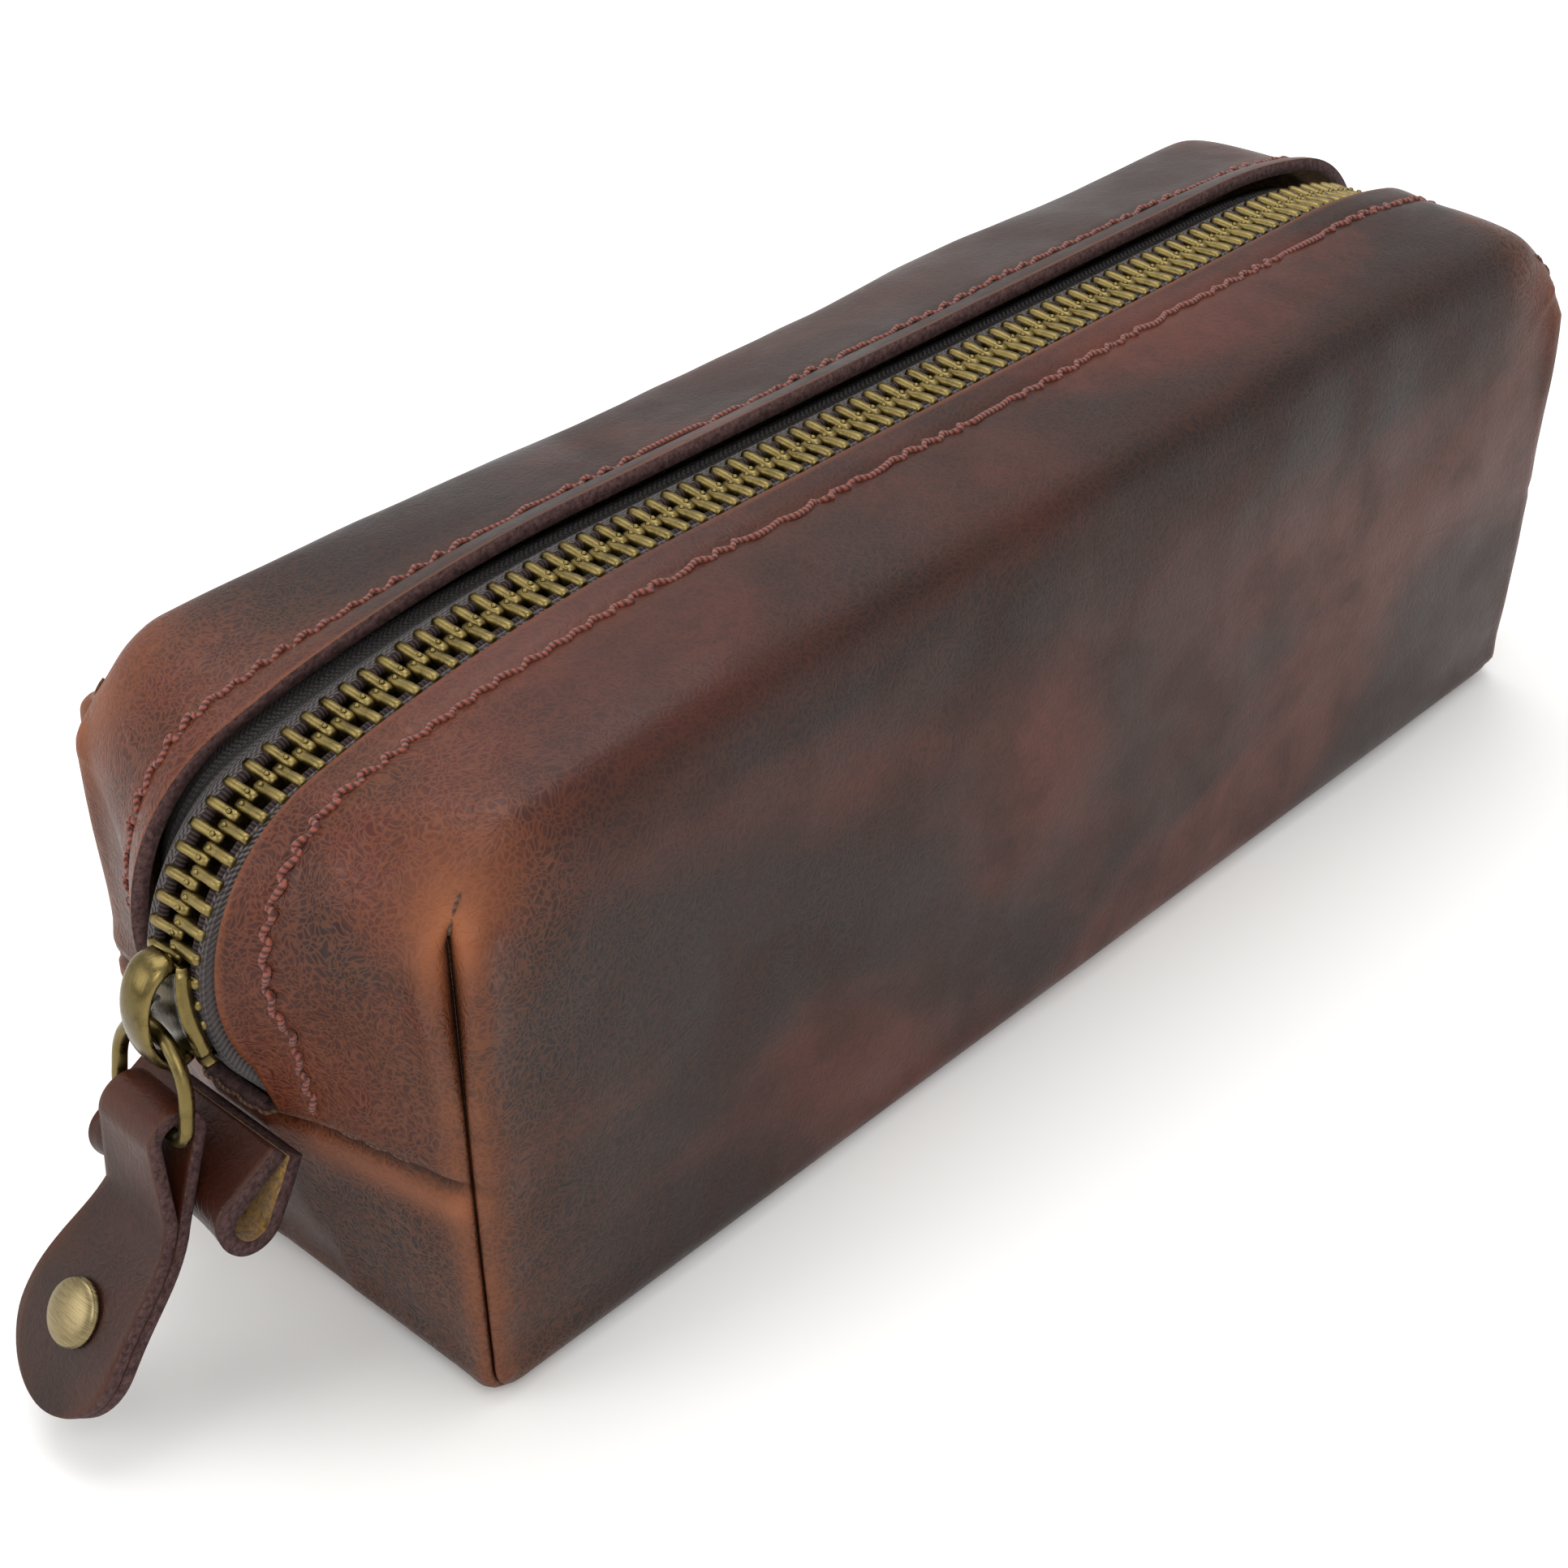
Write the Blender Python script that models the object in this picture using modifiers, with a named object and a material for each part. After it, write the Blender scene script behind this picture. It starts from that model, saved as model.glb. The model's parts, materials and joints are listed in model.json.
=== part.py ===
"""Leather shaving kit bag: a long box pouch with a metal zip, an end tab and a riveted pull.

Frame: metres, +Z up, the origin at the middle of the flat bottom. The bag's length is along X,
with the closed zip's slider at the -X end ("near"), and the zip runs along y = 0.
"""

import math

import bmesh
import bpy
from mathutils import Matrix, Vector

MM = 0.001
GAP = 0.3 * MM  # air between neighbouring pieces

# Leather body
HALF_LENGTH = 104.0 * MM  # to the upright corner seams
HALF_WIDTH = 31.2 * MM
SIDE_TOP = 75.0 * MM  # height of the long top edges
ZIP_TOP = 78.0 * MM  # height of the leather beside the zip
SEAM_HEIGHT = 33.0 * MM  # level seam across each end
LEATHER = 1.8 * MM
EDGE_ROUND = 4.5 * MM  # rounding between the side walls and the rest
CORNER_RADIUS = 12.0 * MM  # upper corners of the side walls
BOTTOM_RADIUS = 4.0 * MM
BLEND_POWER = 0.7  # how the end falls back from the zip's nose to the corner seam
NOSE_STEPS = 7
SHOULDER_STEPS = 2
CORNER_STEPS = 3
BLEND_ROWS = 2
ROUND_STEPS = 3

# The zip bends over a round nose at each end, whose centre is this far inside the corner seams
NEAR_NOSE_BACK = 8.2 * MM
NEAR_NOSE_HEIGHT = 49.5 * MM
FAR_NOSE_BACK = 14.5 * MM
FAR_NOSE_HEIGHT = 53.5 * MM
NOSE_RADIUS = 21.75 * MM
NEAR_UNDER = math.radians(35)  # each nose goes on this far below its centre
FAR_UNDER = math.radians(20)
NOSE_OVER = math.radians(74)  # and up to here, where a flat shoulder takes over

# Zip
ZIP_GAP = 13.6 * MM  # between the two cut leather edges
TAPE_THICKNESS = 0.7 * MM
TAPE_OUTER = 12.2 * MM  # sewn edge of each tape, from the middle
TAPE_DEPTH = 7 / 6  # how much deeper the sewn part of the tape lies, of the leather's thickness
EDGE_LEAN = 2 / 3  # how far the cut edge's inner corner leans over the tape, of the leather's thickness
TAPE_START = 0.2  # share of the tape's first span that it leaves free at each level seam
BEAD_INNER = 2.3 * MM
BEAD_OUTER = 3.4 * MM
TOOTH_PITCH = 2.68 * MM
TOOTH_THICKNESS = 1.0 * MM
TOOTH_HEIGHT = 2.0 * MM
TOOTH_OVERLAP = 0.9 * MM  # how far a tooth reaches past the middle
STOP_LENGTH = 2.0 * MM

# Slider, round the near nose
SLIDER_ANGLE = math.radians(-5)  # where it rests, from level with the nose's centre
SLIDER_LENGTH = 11.6 * MM
SLIDER_HALF_WIDTH = 4.7 * MM
PLATE_THICKNESS = 1.2 * MM
CHANNEL_CLEARANCE = 0.35 * MM  # between the teeth and each plate
TAPE_SLOT = 1.8 * MM  # height of the slot that the tape leaves by
CROWN_LENGTH = 11.6 * MM
CROWN_OVER_RING = 3.3 * MM  # from the middle of the ring's wire to the crown's top
CROWN_WIDTH = 3.6 * MM
CROWN_ROOF = 1.4 * MM
CROWN_FOOT = 2.0 * MM
SPRING_THICKNESS = 0.3 * MM

# Pull ring
RING_WIRE = 0.85 * MM  # radius
RING_HALF_WIDTH = 6.3 * MM
RING_LENGTH = 11.3 * MM
RING_ARCH = 6.8 * MM  # height of its round top
RING_CORNER = 2.2 * MM
RING_LEAN = math.radians(10)
PULL_TURN = math.radians(-3)  # the ring hangs turned this much in the crown, seen from above
RING_DOWN = 0.8 * MM  # where it lies in the crown
RING_PROUD = 1.5 * MM  # its wire's middle, outside the leather's face, so that the pull clears the tab

# Pull strap
STRAP_LEATHER = 1.5 * MM
LOOP_RADIUS = 2.75 * MM  # to the middle of the leather
LOOP_LENGTH = 9.0 * MM
STRAP_LENGTH = 35.7 * MM
STRAP_LEAN_TOP = math.radians(6)  # from upright, at the ring
STRAP_LEAN_TIP = math.radians(36)
STRAP_BEND = math.radians(28)  # how much more it leans halfway along its bend
STRAP_BEND_SPAN = (5.0 * MM, 30.0 * MM)  # where the bend starts and ends
STRAP_LOOP_HALF_WIDTH = 5.0 * MM
STRAP_PADDLE_RADIUS = 8.9 * MM
STRAP_TIP_SHARE = 0.2  # half width of the flat at the very tip, of the paddle's radius
RIVET_FROM_TIP = 11.4 * MM
RIVET_CAP_RADIUS = 3.9 * MM
RIVET_DOME = 1.6 * MM
RIVET_RIM = 0.5 * MM
RIVET_POST_RADIUS = 1.2 * MM
CUTTER_DEPTH = 12.0 * MM  # of the rivet's hole, longer than the strap is thick
BEND_STEPS = 24  # straight steps that follow the strap's bend

# End tab
TAB_LEATHER = 1.8 * MM
TAB_LEFT = 12.5 * MM
TAB_RIGHT = -10.6 * MM
TAB_LOBE_RADIUS = 3.0 * MM
TAB_LEAN = math.radians(42)
TAB_LENGTH = 7.3 * MM  # root to the middle of the lobe

# Thread
THREAD_RADIUS = 0.35 * MM
STITCH_FROM_EDGE = 4.6 * MM
CORNER_STITCH_TOP = 58.0 * MM

NEAR_NOSE = (HALF_LENGTH - NEAR_NOSE_BACK, NEAR_NOSE_HEIGHT)
FAR_NOSE = (HALF_LENGTH - FAR_NOSE_BACK, FAR_NOSE_HEIGHT)
THREAD_OFF = GAP + THREAD_RADIUS
TAPE_INSET = LEATHER + GAP
ZIP_INSET = TAPE_INSET + TAPE_THICKNESS / 2
TAPE_DROP = TAPE_DEPTH * LEATHER
ZIP_EDGE = ZIP_GAP / 2
TAPE_BEND = ZIP_EDGE - EDGE_LEAN * LEATHER  # from here outwards the tape lies deeper
BAND = SLIDER_HALF_WIDTH + GAP  # the zip runs straight across inside this
PLATE_TOP = TOOTH_HEIGHT / 2 + CHANNEL_CLEARANCE + PLATE_THICKNESS + GAP
RING_LIFT = ZIP_INSET + RING_PROUD - PLATE_TOP
CROWN_HEIGHT = RING_LIFT + CROWN_OVER_RING
NOSE = (-NEAR_NOSE[0], NEAR_NOSE[1])
ZIP_RADIUS = NOSE_RADIUS - ZIP_INSET


def polar(centre, radius, angle):
    """Point at a radius from a centre; angle 0 points outwards, a quarter turn points up."""
    return (centre[0] + radius * math.cos(angle), centre[1] + radius * math.sin(angle))


def mix(a, b, share):
    """Value or point that lies a share of the way from a to b."""
    if isinstance(a, tuple):
        return tuple(mix(p, q, share) for p, q in zip(a, b))
    return a + (b - a) * share


def steps(first, last, count):
    """count + 1 even values from first to last."""
    return [mix(first, last, k / count) for k in range(count + 1)]


def shoulder_radius(nose):
    """The shoulder leaves the nose at NOSE_OVER and is level at the top."""
    rise = ZIP_TOP - nose[1] - NOSE_RADIUS * math.sin(NOSE_OVER)
    return rise / (1 - math.sin(NOSE_OVER))


def shoulder_centre(nose):
    return polar(nose, NOSE_RADIUS - shoulder_radius(nose), NOSE_OVER)


def nose_foot(nose, under, inset):
    """Where the zip's line leaves the nose downwards and meets the level seam."""
    top = polar(nose, NOSE_RADIUS - inset, -under)
    return (top[0] - (top[1] - SEAM_HEIGHT) * math.tan(under), SEAM_HEIGHT)


def zip_end(nose, under, inset):
    """Upper half of the middle section at one end, seam to top, as (outward, up) points."""
    round_part = [polar(nose, NOSE_RADIUS - inset, a) for a in steps(-under, NOSE_OVER, NOSE_STEPS)]
    angles = steps(NOSE_OVER, math.pi / 2, SHOULDER_STEPS)[1:]
    centre = shoulder_centre(nose)
    shoulder = [polar(centre, shoulder_radius(nose) - inset, a) for a in angles]
    return [nose_foot(nose, under, inset)] + round_part + shoulder


def corner_end(nose, inset):
    """The same stations at the corner seam, where the end is upright."""
    centre = (HALF_LENGTH - CORNER_RADIUS, SIDE_TOP - CORNER_RADIUS)
    angles = steps(0, math.pi / 2, NOSE_STEPS)
    round_part = [polar(centre, CORNER_RADIUS - inset, a) for a in angles]
    last = (shoulder_centre(nose)[0], SIDE_TOP - inset)
    shoulder = [mix(round_part[-1], last, k / SHOULDER_STEPS) for k in range(1, SHOULDER_STEPS + 1)]
    return [(HALF_LENGTH - inset, SEAM_HEIGHT)] + round_part + shoulder


def lower_end(inset):
    """Rounded corner below the seam, top to bottom, the same across the whole width."""
    centre = (HALF_LENGTH - BOTTOM_RADIUS, BOTTOM_RADIUS)
    return [polar(centre, BOTTOM_RADIUS - inset, a) for a in steps(0, -math.pi / 2, CORNER_STEPS)]


def closed_loop(near, far, inset):
    """Closed (x, z) loop: near seam, over the top, far seam, and back along the bottom."""
    low = lower_end(inset)
    return [(-x, z) for x, z in near] + far[::-1] + low + [(-x, z) for x, z in low[::-1]]


def zip_loop(inset):
    ends = (zip_end(NEAR_NOSE, NEAR_UNDER, inset), zip_end(FAR_NOSE, FAR_UNDER, inset))
    return closed_loop(*ends, inset)


def body_loop(y, inset=0.0):
    """The body's loop at a distance y from the middle, moved inwards by inset."""
    middle = zip_loop(inset)
    corner = closed_loop(corner_end(NEAR_NOSE, inset), corner_end(FAR_NOSE, inset), inset)
    beyond = max(0.0, abs(y) - BAND) / (HALF_WIDTH - BAND)
    share = beyond**BLEND_POWER
    return [mix(p, q, share) for p, q in zip(middle, corner)]


UPPER_POINTS = NOSE_STEPS + SHOULDER_STEPS + 2  # stations from a seam to the top
NEAR_SEAM = 0
FAR_SEAM = 2 * UPPER_POINTS - 1
LOOP_POINTS = FAR_SEAM + 1 + 2 * (CORNER_STEPS + 1)


def side_rounding(angle, extra=0.0):
    """(y, inset) on the rounding between the belt and a side wall; a quarter turn is the wall."""
    radius = EDGE_ROUND + extra
    y = HALF_WIDTH - EDGE_ROUND + radius * math.sin(angle)
    return (y, EDGE_ROUND - radius * math.cos(angle))


def across():
    """(y, inset) rows from the right wall to the left wall, with the zip's edges in the middle."""
    flat = [(y, 0.0) for y in [ZIP_EDGE] + steps(TAPE_OUTER, HALF_WIDTH - EDGE_ROUND, BLEND_ROWS)]
    half = flat + [side_rounding(a) for a in steps(0, math.pi / 2, ROUND_STEPS)[1:]]
    return [(-y, inset) for y, inset in half[::-1]] + half


# Scene helpers


def clear_scene():
    for obj in list(bpy.data.objects):
        bpy.data.objects.remove(obj, do_unlink=True)


def collection(name, cutters=False):
    found = bpy.data.collections.new(name)
    bpy.context.scene.collection.children.link(found)
    found.hide_render = cutters
    return found


def material(name, colour, roughness, metallic=0.0):
    made = bpy.data.materials.new(name)
    made.use_nodes = True
    shader = made.node_tree.nodes["Principled BSDF"]
    shader.inputs["Base Color"].default_value = (*colour, 1.0)
    shader.inputs["Roughness"].default_value = roughness
    shader.inputs["Metallic"].default_value = metallic
    return made


def add(name, data, look, smooth=False):
    """Links a new object that holds this mesh or curve to the bag's collection."""
    obj = bpy.data.objects.new(name, data)
    PARTS.objects.link(obj)
    data.materials.append(look)
    if smooth:
        data.shade_smooth()
    return obj


def mesh_from(name, bm):
    bmesh.ops.recalc_face_normals(bm, faces=bm.faces)
    data = bpy.data.meshes.new(name)
    bm.to_mesh(data)
    bm.free()
    return data


def outline(name, splines, y_low, y_high, look):
    """A flat (x, z) outline, extruded from y_low to y_high."""
    curve = bpy.data.curves.new(name, "CURVE")
    curve.dimensions = "2D"
    curve.fill_mode = "BOTH"
    curve.extrude = (y_high - y_low) / 2
    for points in splines:
        spline = curve.splines.new("POLY")
        spline.points.add(len(points) - 1)
        spline.use_cyclic_u = True
        for point, (x, z) in zip(spline.points, points):
            point.co = (x, z, 0, 1)
    obj = add(name, curve, look)
    obj.matrix_world = Matrix.Translation((0, (y_low + y_high) / 2, 0)) @ Matrix.Rotation(math.pi / 2, 4, "X")
    return obj


def tube(name, points, radius, look, closed=False, resolution=0):
    """A round thread or wire along these points."""
    curve = bpy.data.curves.new(name, "CURVE")
    curve.dimensions = "3D"
    curve.bevel_depth = radius
    curve.bevel_resolution = resolution
    curve.use_fill_caps = not closed
    spline = curve.splines.new("POLY")
    spline.points.add(len(points) - 1)
    spline.use_cyclic_u = closed
    for point, place in zip(spline.points, points):
        point.co = (*place, 1)
    return add(name, curve, look)


def drill(obj, name, radius, place):
    """Cuts a hole right through obj along the local Z axis of place."""
    bm = bmesh.new()
    bmesh.ops.create_cone(bm, cap_ends=True, segments=16, radius1=radius, radius2=radius, depth=CUTTER_DEPTH)
    cutter = bpy.data.objects.new(name, mesh_from(name, bm))
    cutter.matrix_world = place
    cutter.hide_render = True
    cutter.display_type = "WIRE"
    CUTTERS.objects.link(cutter)
    modifier = obj.modifiers.new("hole", "BOOLEAN")
    modifier.operation = "DIFFERENCE"
    modifier.solver = "EXACT"
    modifier.object = cutter


def sheet_from(name, rows, thickness, look, offset=0.0):
    """Leather or tape: an open surface through rows of points, thickened by Solidify."""
    bm = bmesh.new()
    lines = [[bm.verts.new(p) for p in row] for row in rows]
    for low, high in zip(lines, lines[1:]):
        for k in range(len(low) - 1):
            bm.faces.new((low[k], low[k + 1], high[k + 1], high[k]))
    obj = add(name, mesh_from(name, bm), look, smooth=True)
    thicken(obj, thickness, offset)
    return obj


def thicken(obj, thickness, offset):
    modifier = obj.modifiers.new("thickness", "SOLIDIFY")
    modifier.thickness = thickness
    modifier.offset = offset
    modifier.use_even_offset = True


def turned(name, profile, place, look):
    """A turned piece: (radius, height) points from the top down, spun about the local Z axis."""
    data = bpy.data.meshes.new(name)
    edges = [(k, k + 1) for k in range(len(profile) - 1)]
    data.from_pydata([(r, 0, h) for r, h in profile], edges, [])
    obj = add(name, data, look)
    obj.matrix_world = place
    modifier = obj.modifiers.new("turn", "SCREW")
    modifier.steps = modifier.render_steps = 20
    modifier.use_merge_vertices = True
    modifier.merge_threshold = 0.01 * MM
    modifier.use_smooth_shade = True
    return obj


def block(name, centre, size, angle, look):
    """A box whose length follows the zip at this angle from level, about the Y axis."""
    bm = bmesh.new()
    place = Matrix.Rotation(angle, 4, "Y") @ Matrix.Diagonal((*size, 1))
    bmesh.ops.create_cube(bm, size=1.0, matrix=place)
    obj = add(name, mesh_from(name, bm), look)
    obj.location = centre
    return obj


# Leather body


def leather_body():
    """The sewn leather shell, open along the zip."""
    bm = bmesh.new()
    rows = across()
    grid = [[bm.verts.new((x, y, z)) for x, z in body_loop(y, inset)] for y, inset in rows]
    zip_row = len(rows) // 2 - 1
    for j in range(len(rows) - 1):
        for i in range(LOOP_POINTS):
            k = (i + 1) % LOOP_POINTS
            if j == zip_row and i < FAR_SEAM:
                continue
            bm.faces.new((grid[j][i], grid[j][k], grid[j + 1][k], grid[j + 1][i]))
    bm.faces.new(grid[0][::-1])
    bm.faces.new(grid[-1])
    obj = add("leather_body", mesh_from("leather_body", bm), LEATHER_LOOK, smooth=True)
    thicken(obj, LEATHER, -1.0)


# Zip


def zip_pieces():
    """The zip's middle line as (length, place) runs, where place(distance) gives x, z and angle."""
    runs = []

    def straight(start, angle, length):
        def place(d):
            return (start[0] + d * math.cos(angle), start[1] + d * math.sin(angle), angle)

        runs.append((length, place))

    def bend(centre, radius, first, turn):
        def place(d):
            angle = first - math.copysign(d / radius, turn)
            x = centre[0] - radius * math.sin(angle)
            return (x, centre[1] + radius * math.cos(angle), angle)

        runs.append((radius * abs(turn), place))

    quarter = math.pi / 2
    foot = nose_foot(NEAR_NOSE, NEAR_UNDER, ZIP_INSET)
    first_bend = polar(NEAR_NOSE, ZIP_RADIUS, -NEAR_UNDER)
    start, end = shoulder_centre(NEAR_NOSE), shoulder_centre(FAR_NOSE)
    over = quarter - NOSE_OVER
    straight((-foot[0], foot[1]), quarter + NEAR_UNDER, (first_bend[1] - foot[1]) / math.cos(NEAR_UNDER))
    bend(NOSE, ZIP_RADIUS, quarter + NEAR_UNDER, NEAR_UNDER + NOSE_OVER)
    bend((-start[0], start[1]), shoulder_radius(NEAR_NOSE) - ZIP_INSET, over, over)
    straight((-start[0], ZIP_TOP - ZIP_INSET), 0.0, start[0] + end[0])
    bend(end, shoulder_radius(FAR_NOSE) - ZIP_INSET, 0.0, over)
    bend(FAR_NOSE, ZIP_RADIUS, -over, FAR_UNDER + NOSE_OVER)
    foot = nose_foot(FAR_NOSE, FAR_UNDER, ZIP_INSET)
    last_bend = polar(FAR_NOSE, ZIP_RADIUS, -FAR_UNDER)
    straight(last_bend, -quarter - FAR_UNDER, (last_bend[1] - foot[1]) / math.cos(FAR_UNDER))
    return runs


def zip_place(distance):
    """(x, z, angle) at this distance along the zip from the near seam."""
    for length, place in ZIP_RUNS:
        if distance <= length:
            return place(distance)
        distance -= length
    length, place = ZIP_RUNS[-1]
    return place(length)


def tape(name, side):
    """One zip tape, from the bead to its sewn edge, which runs under the leather all the way."""
    rows = []
    for y, drop in ((BEAD_OUTER + GAP, 0), (BAND, 0), (TAPE_BEND, TAPE_DROP), (TAPE_OUTER, TAPE_DROP)):
        line = body_loop(y, ZIP_INSET + drop)[: FAR_SEAM + 1]
        line[0] = mix(line[0], line[1], TAPE_START)
        line[-1] = mix(line[-1], line[-2], TAPE_START)
        rows.append([(x, side * y, z) for x, z in line])
    sheet_from(name, rows, TAPE_THICKNESS, TAPE_LOOK)


def tooth_centres(side):
    """Distances of one row's teeth: the two rows are half a pitch apart."""
    first = FIRST_TOOTH + (TOOTH_PITCH / 2 if side < 0 else 0.0)
    count = int((LAST_TOOTH - first) / TOOTH_PITCH)
    return [first + TOOTH_PITCH * k for k in range(count + 1)]


def teeth(name, side):
    """One row of teeth, joined by the bead that they're clamped on."""
    edges = []
    for centre in tooth_centres(side):
        edges += [centre - TOOTH_THICKNESS / 2, centre + TOOTH_THICKNESS / 2]
    bm = bmesh.new()
    rings = []
    for distance in edges:
        x, z, angle = zip_place(distance)
        up = Vector((-math.sin(angle), 0, math.cos(angle))) * TOOTH_HEIGHT / 2
        corners = [(BEAD_INNER, -1), (BEAD_OUTER, -1), (BEAD_OUTER, 1), (BEAD_INNER, 1)]
        ring = [bm.verts.new(Vector((x, side * y, z)) + up * high) for y, high in corners]
        rings.append(ring)
    bm.faces.new(rings[0])
    bm.faces.new(rings[-1])
    inner = []
    for k, (first, last) in enumerate(zip(rings, rings[1:])):
        for j in range(4):
            face = bm.faces.new((first[j], last[j], last[j - 1], first[j - 1]))
            if j == 0 and k % 2 == 0:
                inner.append(face)
    bmesh.ops.recalc_face_normals(bm, faces=bm.faces)
    tips = bmesh.ops.extrude_discrete_faces(bm, faces=inner)["faces"]
    reach = Vector((0, -side * (BEAD_INNER + TOOTH_OVERLAP), 0))
    bmesh.ops.translate(bm, verts=[v for face in tips for v in face.verts], vec=reach)
    add(name, mesh_from(name, bm), BRASS_LOOK)


def stops():
    """A stop before each row's first tooth, and one across both rows after the last."""
    for name, side in (("top_stop_left", 1), ("top_stop_right", -1)):
        x, z, angle = zip_place(tooth_centres(1)[0] - TOOTH_THICKNESS / 2 - GAP - STOP_LENGTH / 2)
        size = (STOP_LENGTH, BEAD_OUTER - 2 * GAP, TOOTH_HEIGHT)
        y = side * (BEAD_OUTER + 2 * GAP) / 2
        block(name, (x, y, z), size, -angle, BRASS_LOOK)
    last = max(tooth_centres(1)[-1], tooth_centres(-1)[-1])
    x, z, angle = zip_place(last + TOOTH_THICKNESS / 2 + GAP + STOP_LENGTH / 2)
    block("bottom_stop", (x, 0, z), (STOP_LENGTH, 2 * BEAD_OUTER, TOOTH_HEIGHT), -angle, BRASS_LOOK)


# Slider: it turns about the near nose's centre as it climbs the end


def on_nose(radius, angle):
    """(x, z) at a radius from the near nose's centre; angle 0 points to the near end."""
    x, z = polar(NEAR_NOSE, radius, angle)
    return (-x, z)


def at_slider(along, out):
    """(x, z) in the slider's frame: along the zip downwards, and out from the zip's middle."""
    x, z = on_nose(ZIP_RADIUS + out, SLIDER_ANGLE)
    return (x - along * math.sin(SLIDER_ANGLE), z - along * math.cos(SLIDER_ANGLE))


def plate(name, way):
    """A slider plate, outside (way 1) or inside (way -1) the teeth, with a flange on each edge.

    Its C-shaped section, as (y, out from the zip's middle) points, is spun along the nose.
    """
    near = TOOTH_HEIGHT / 2 + CHANNEL_CLEARANCE
    far = near + PLATE_THICKNESS
    flange = BEAD_OUTER + CHANNEL_CLEARANCE
    half = [(flange, near), (flange, TAPE_SLOT / 2), (SLIDER_HALF_WIDTH, TAPE_SLOT / 2), (SLIDER_HALF_WIDTH, far)]
    section = half + [(-y, out) for y, out in half[::-1]]
    reach = SLIDER_LENGTH / 2 / ZIP_RADIUS
    bm = bmesh.new()
    corners = []
    for y, out in section:
        x, z = on_nose(ZIP_RADIUS + way * out, SLIDER_ANGLE - reach)
        corners.append(bm.verts.new((x, y, z)))
    bm.faces.new(corners)
    centre = (NOSE[0], 0, NOSE[1])
    geometry = bm.verts[:] + bm.edges[:] + bm.faces[:]
    bmesh.ops.spin(bm, geom=geometry, cent=centre, axis=(0, 1, 0), angle=2 * reach, steps=6)
    add(name, mesh_from(name, bm), BRASS_LOOK)


def arch(inner_length, inner_height, outer_length, outer_height):
    """(x, z) outline of an arch that stands on the slider."""

    def ellipse(length, height, angles):
        return [at_slider(length / 2 * math.cos(a), PLATE_TOP + height * math.sin(a)) for a in angles]

    angles = steps(0, math.pi, 10)
    return ellipse(outer_length, outer_height, angles) + ellipse(inner_length, inner_height, angles[::-1])


def crown():
    """The arch that holds the ring, and the lock spring's leaf under its roof."""
    hollow = (CROWN_LENGTH - 2 * CROWN_FOOT, CROWN_HEIGHT - CROWN_ROOF)
    half = CROWN_WIDTH / 2
    outline("slider_crown", [arch(*hollow, CROWN_LENGTH, CROWN_HEIGHT)], -half, half, BRASS_LOOK)
    outer = (hollow[0] - 2 * GAP, hollow[1] - GAP)
    leaf = (outer[0] - 2 * SPRING_THICKNESS, outer[1] - SPRING_THICKNESS)
    half = CROWN_WIDTH / 2 - 2 * GAP
    outline("slider_lock_spring", [arch(*leaf, *outer)], -half, half, STEEL_LOOK)


# Pull


def ring_top():
    return at_slider(RING_DOWN, PLATE_TOP + RING_LIFT)


def ring_bottom():
    x, z = ring_top()
    return (x - RING_LENGTH * math.sin(RING_LEAN), z - RING_LENGTH * math.cos(RING_LEAN))


def pull_ring():
    """A wire ring: round at the top, where the crown holds it, and square at the bottom."""
    top = [(RING_HALF_WIDTH * math.cos(a), RING_ARCH * (1 - math.sin(a))) for a in steps(0, math.pi, 10)]
    side = RING_HALF_WIDTH - RING_CORNER
    low = RING_LENGTH - RING_CORNER
    left = [(-side - RING_CORNER * math.cos(a), low + RING_CORNER * math.sin(a)) for a in steps(0, math.pi / 2, 3)]
    right = [(-y, d) for y, d in left[::-1]]
    x, z = ring_top()
    lean = (-math.sin(RING_LEAN), -math.cos(RING_LEAN))
    points = [(x + d * lean[0], y, z + d * lean[1]) for y, d in top + left + right]
    tube("pull_ring", points, RING_WIRE, BRASS_LOOK, closed=True, resolution=1)


def strap_lean(distance):
    """Angle of the pull from upright: it hangs, bends outwards and then droops a little."""
    start, end = STRAP_BEND_SPAN
    share = min(1.0, max(0.0, (distance - start) / (end - start)))
    lean = mix(STRAP_LEAN_TOP, STRAP_LEAN_TIP, distance / STRAP_LENGTH)
    return lean + STRAP_BEND * math.sin(math.pi * share) ** 2


def strap_middle(distance):
    """(x, z, lean) of the pull's middle line at this distance from the ring's bar."""
    x, z = ring_bottom()
    step = distance / BEND_STEPS
    for k in range(BEND_STEPS):
        lean = strap_lean(step * (k + 0.5))
        x -= step * math.sin(lean)
        z -= step * math.cos(lean)
    return (x, z, strap_lean(distance))


def loop_half(radius, length, ply):
    """Half of a teardrop loop as (along, across) points, from its top to the tangent point."""
    tangent = math.acos((radius - ply) / length)
    return [(-radius * math.cos(a), radius * math.sin(a)) for a in steps(0, math.pi - tangent, 5)]


def strap_half_width(distance):
    """Narrow at the ring, widening to the round paddle at the tip."""
    centre = STRAP_LENGTH - STRAP_PADDLE_RADIUS
    if distance > centre:
        chord = math.sqrt(max(0.0, STRAP_PADDLE_RADIUS**2 - (distance - centre) ** 2))
        return max(chord, STRAP_PADDLE_RADIUS * STRAP_TIP_SHARE)
    share = max(0.0, distance) / centre
    ease = share * share * (3 - 2 * share)
    return mix(STRAP_LOOP_HALF_WIDTH, STRAP_PADDLE_RADIUS, ease)


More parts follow.
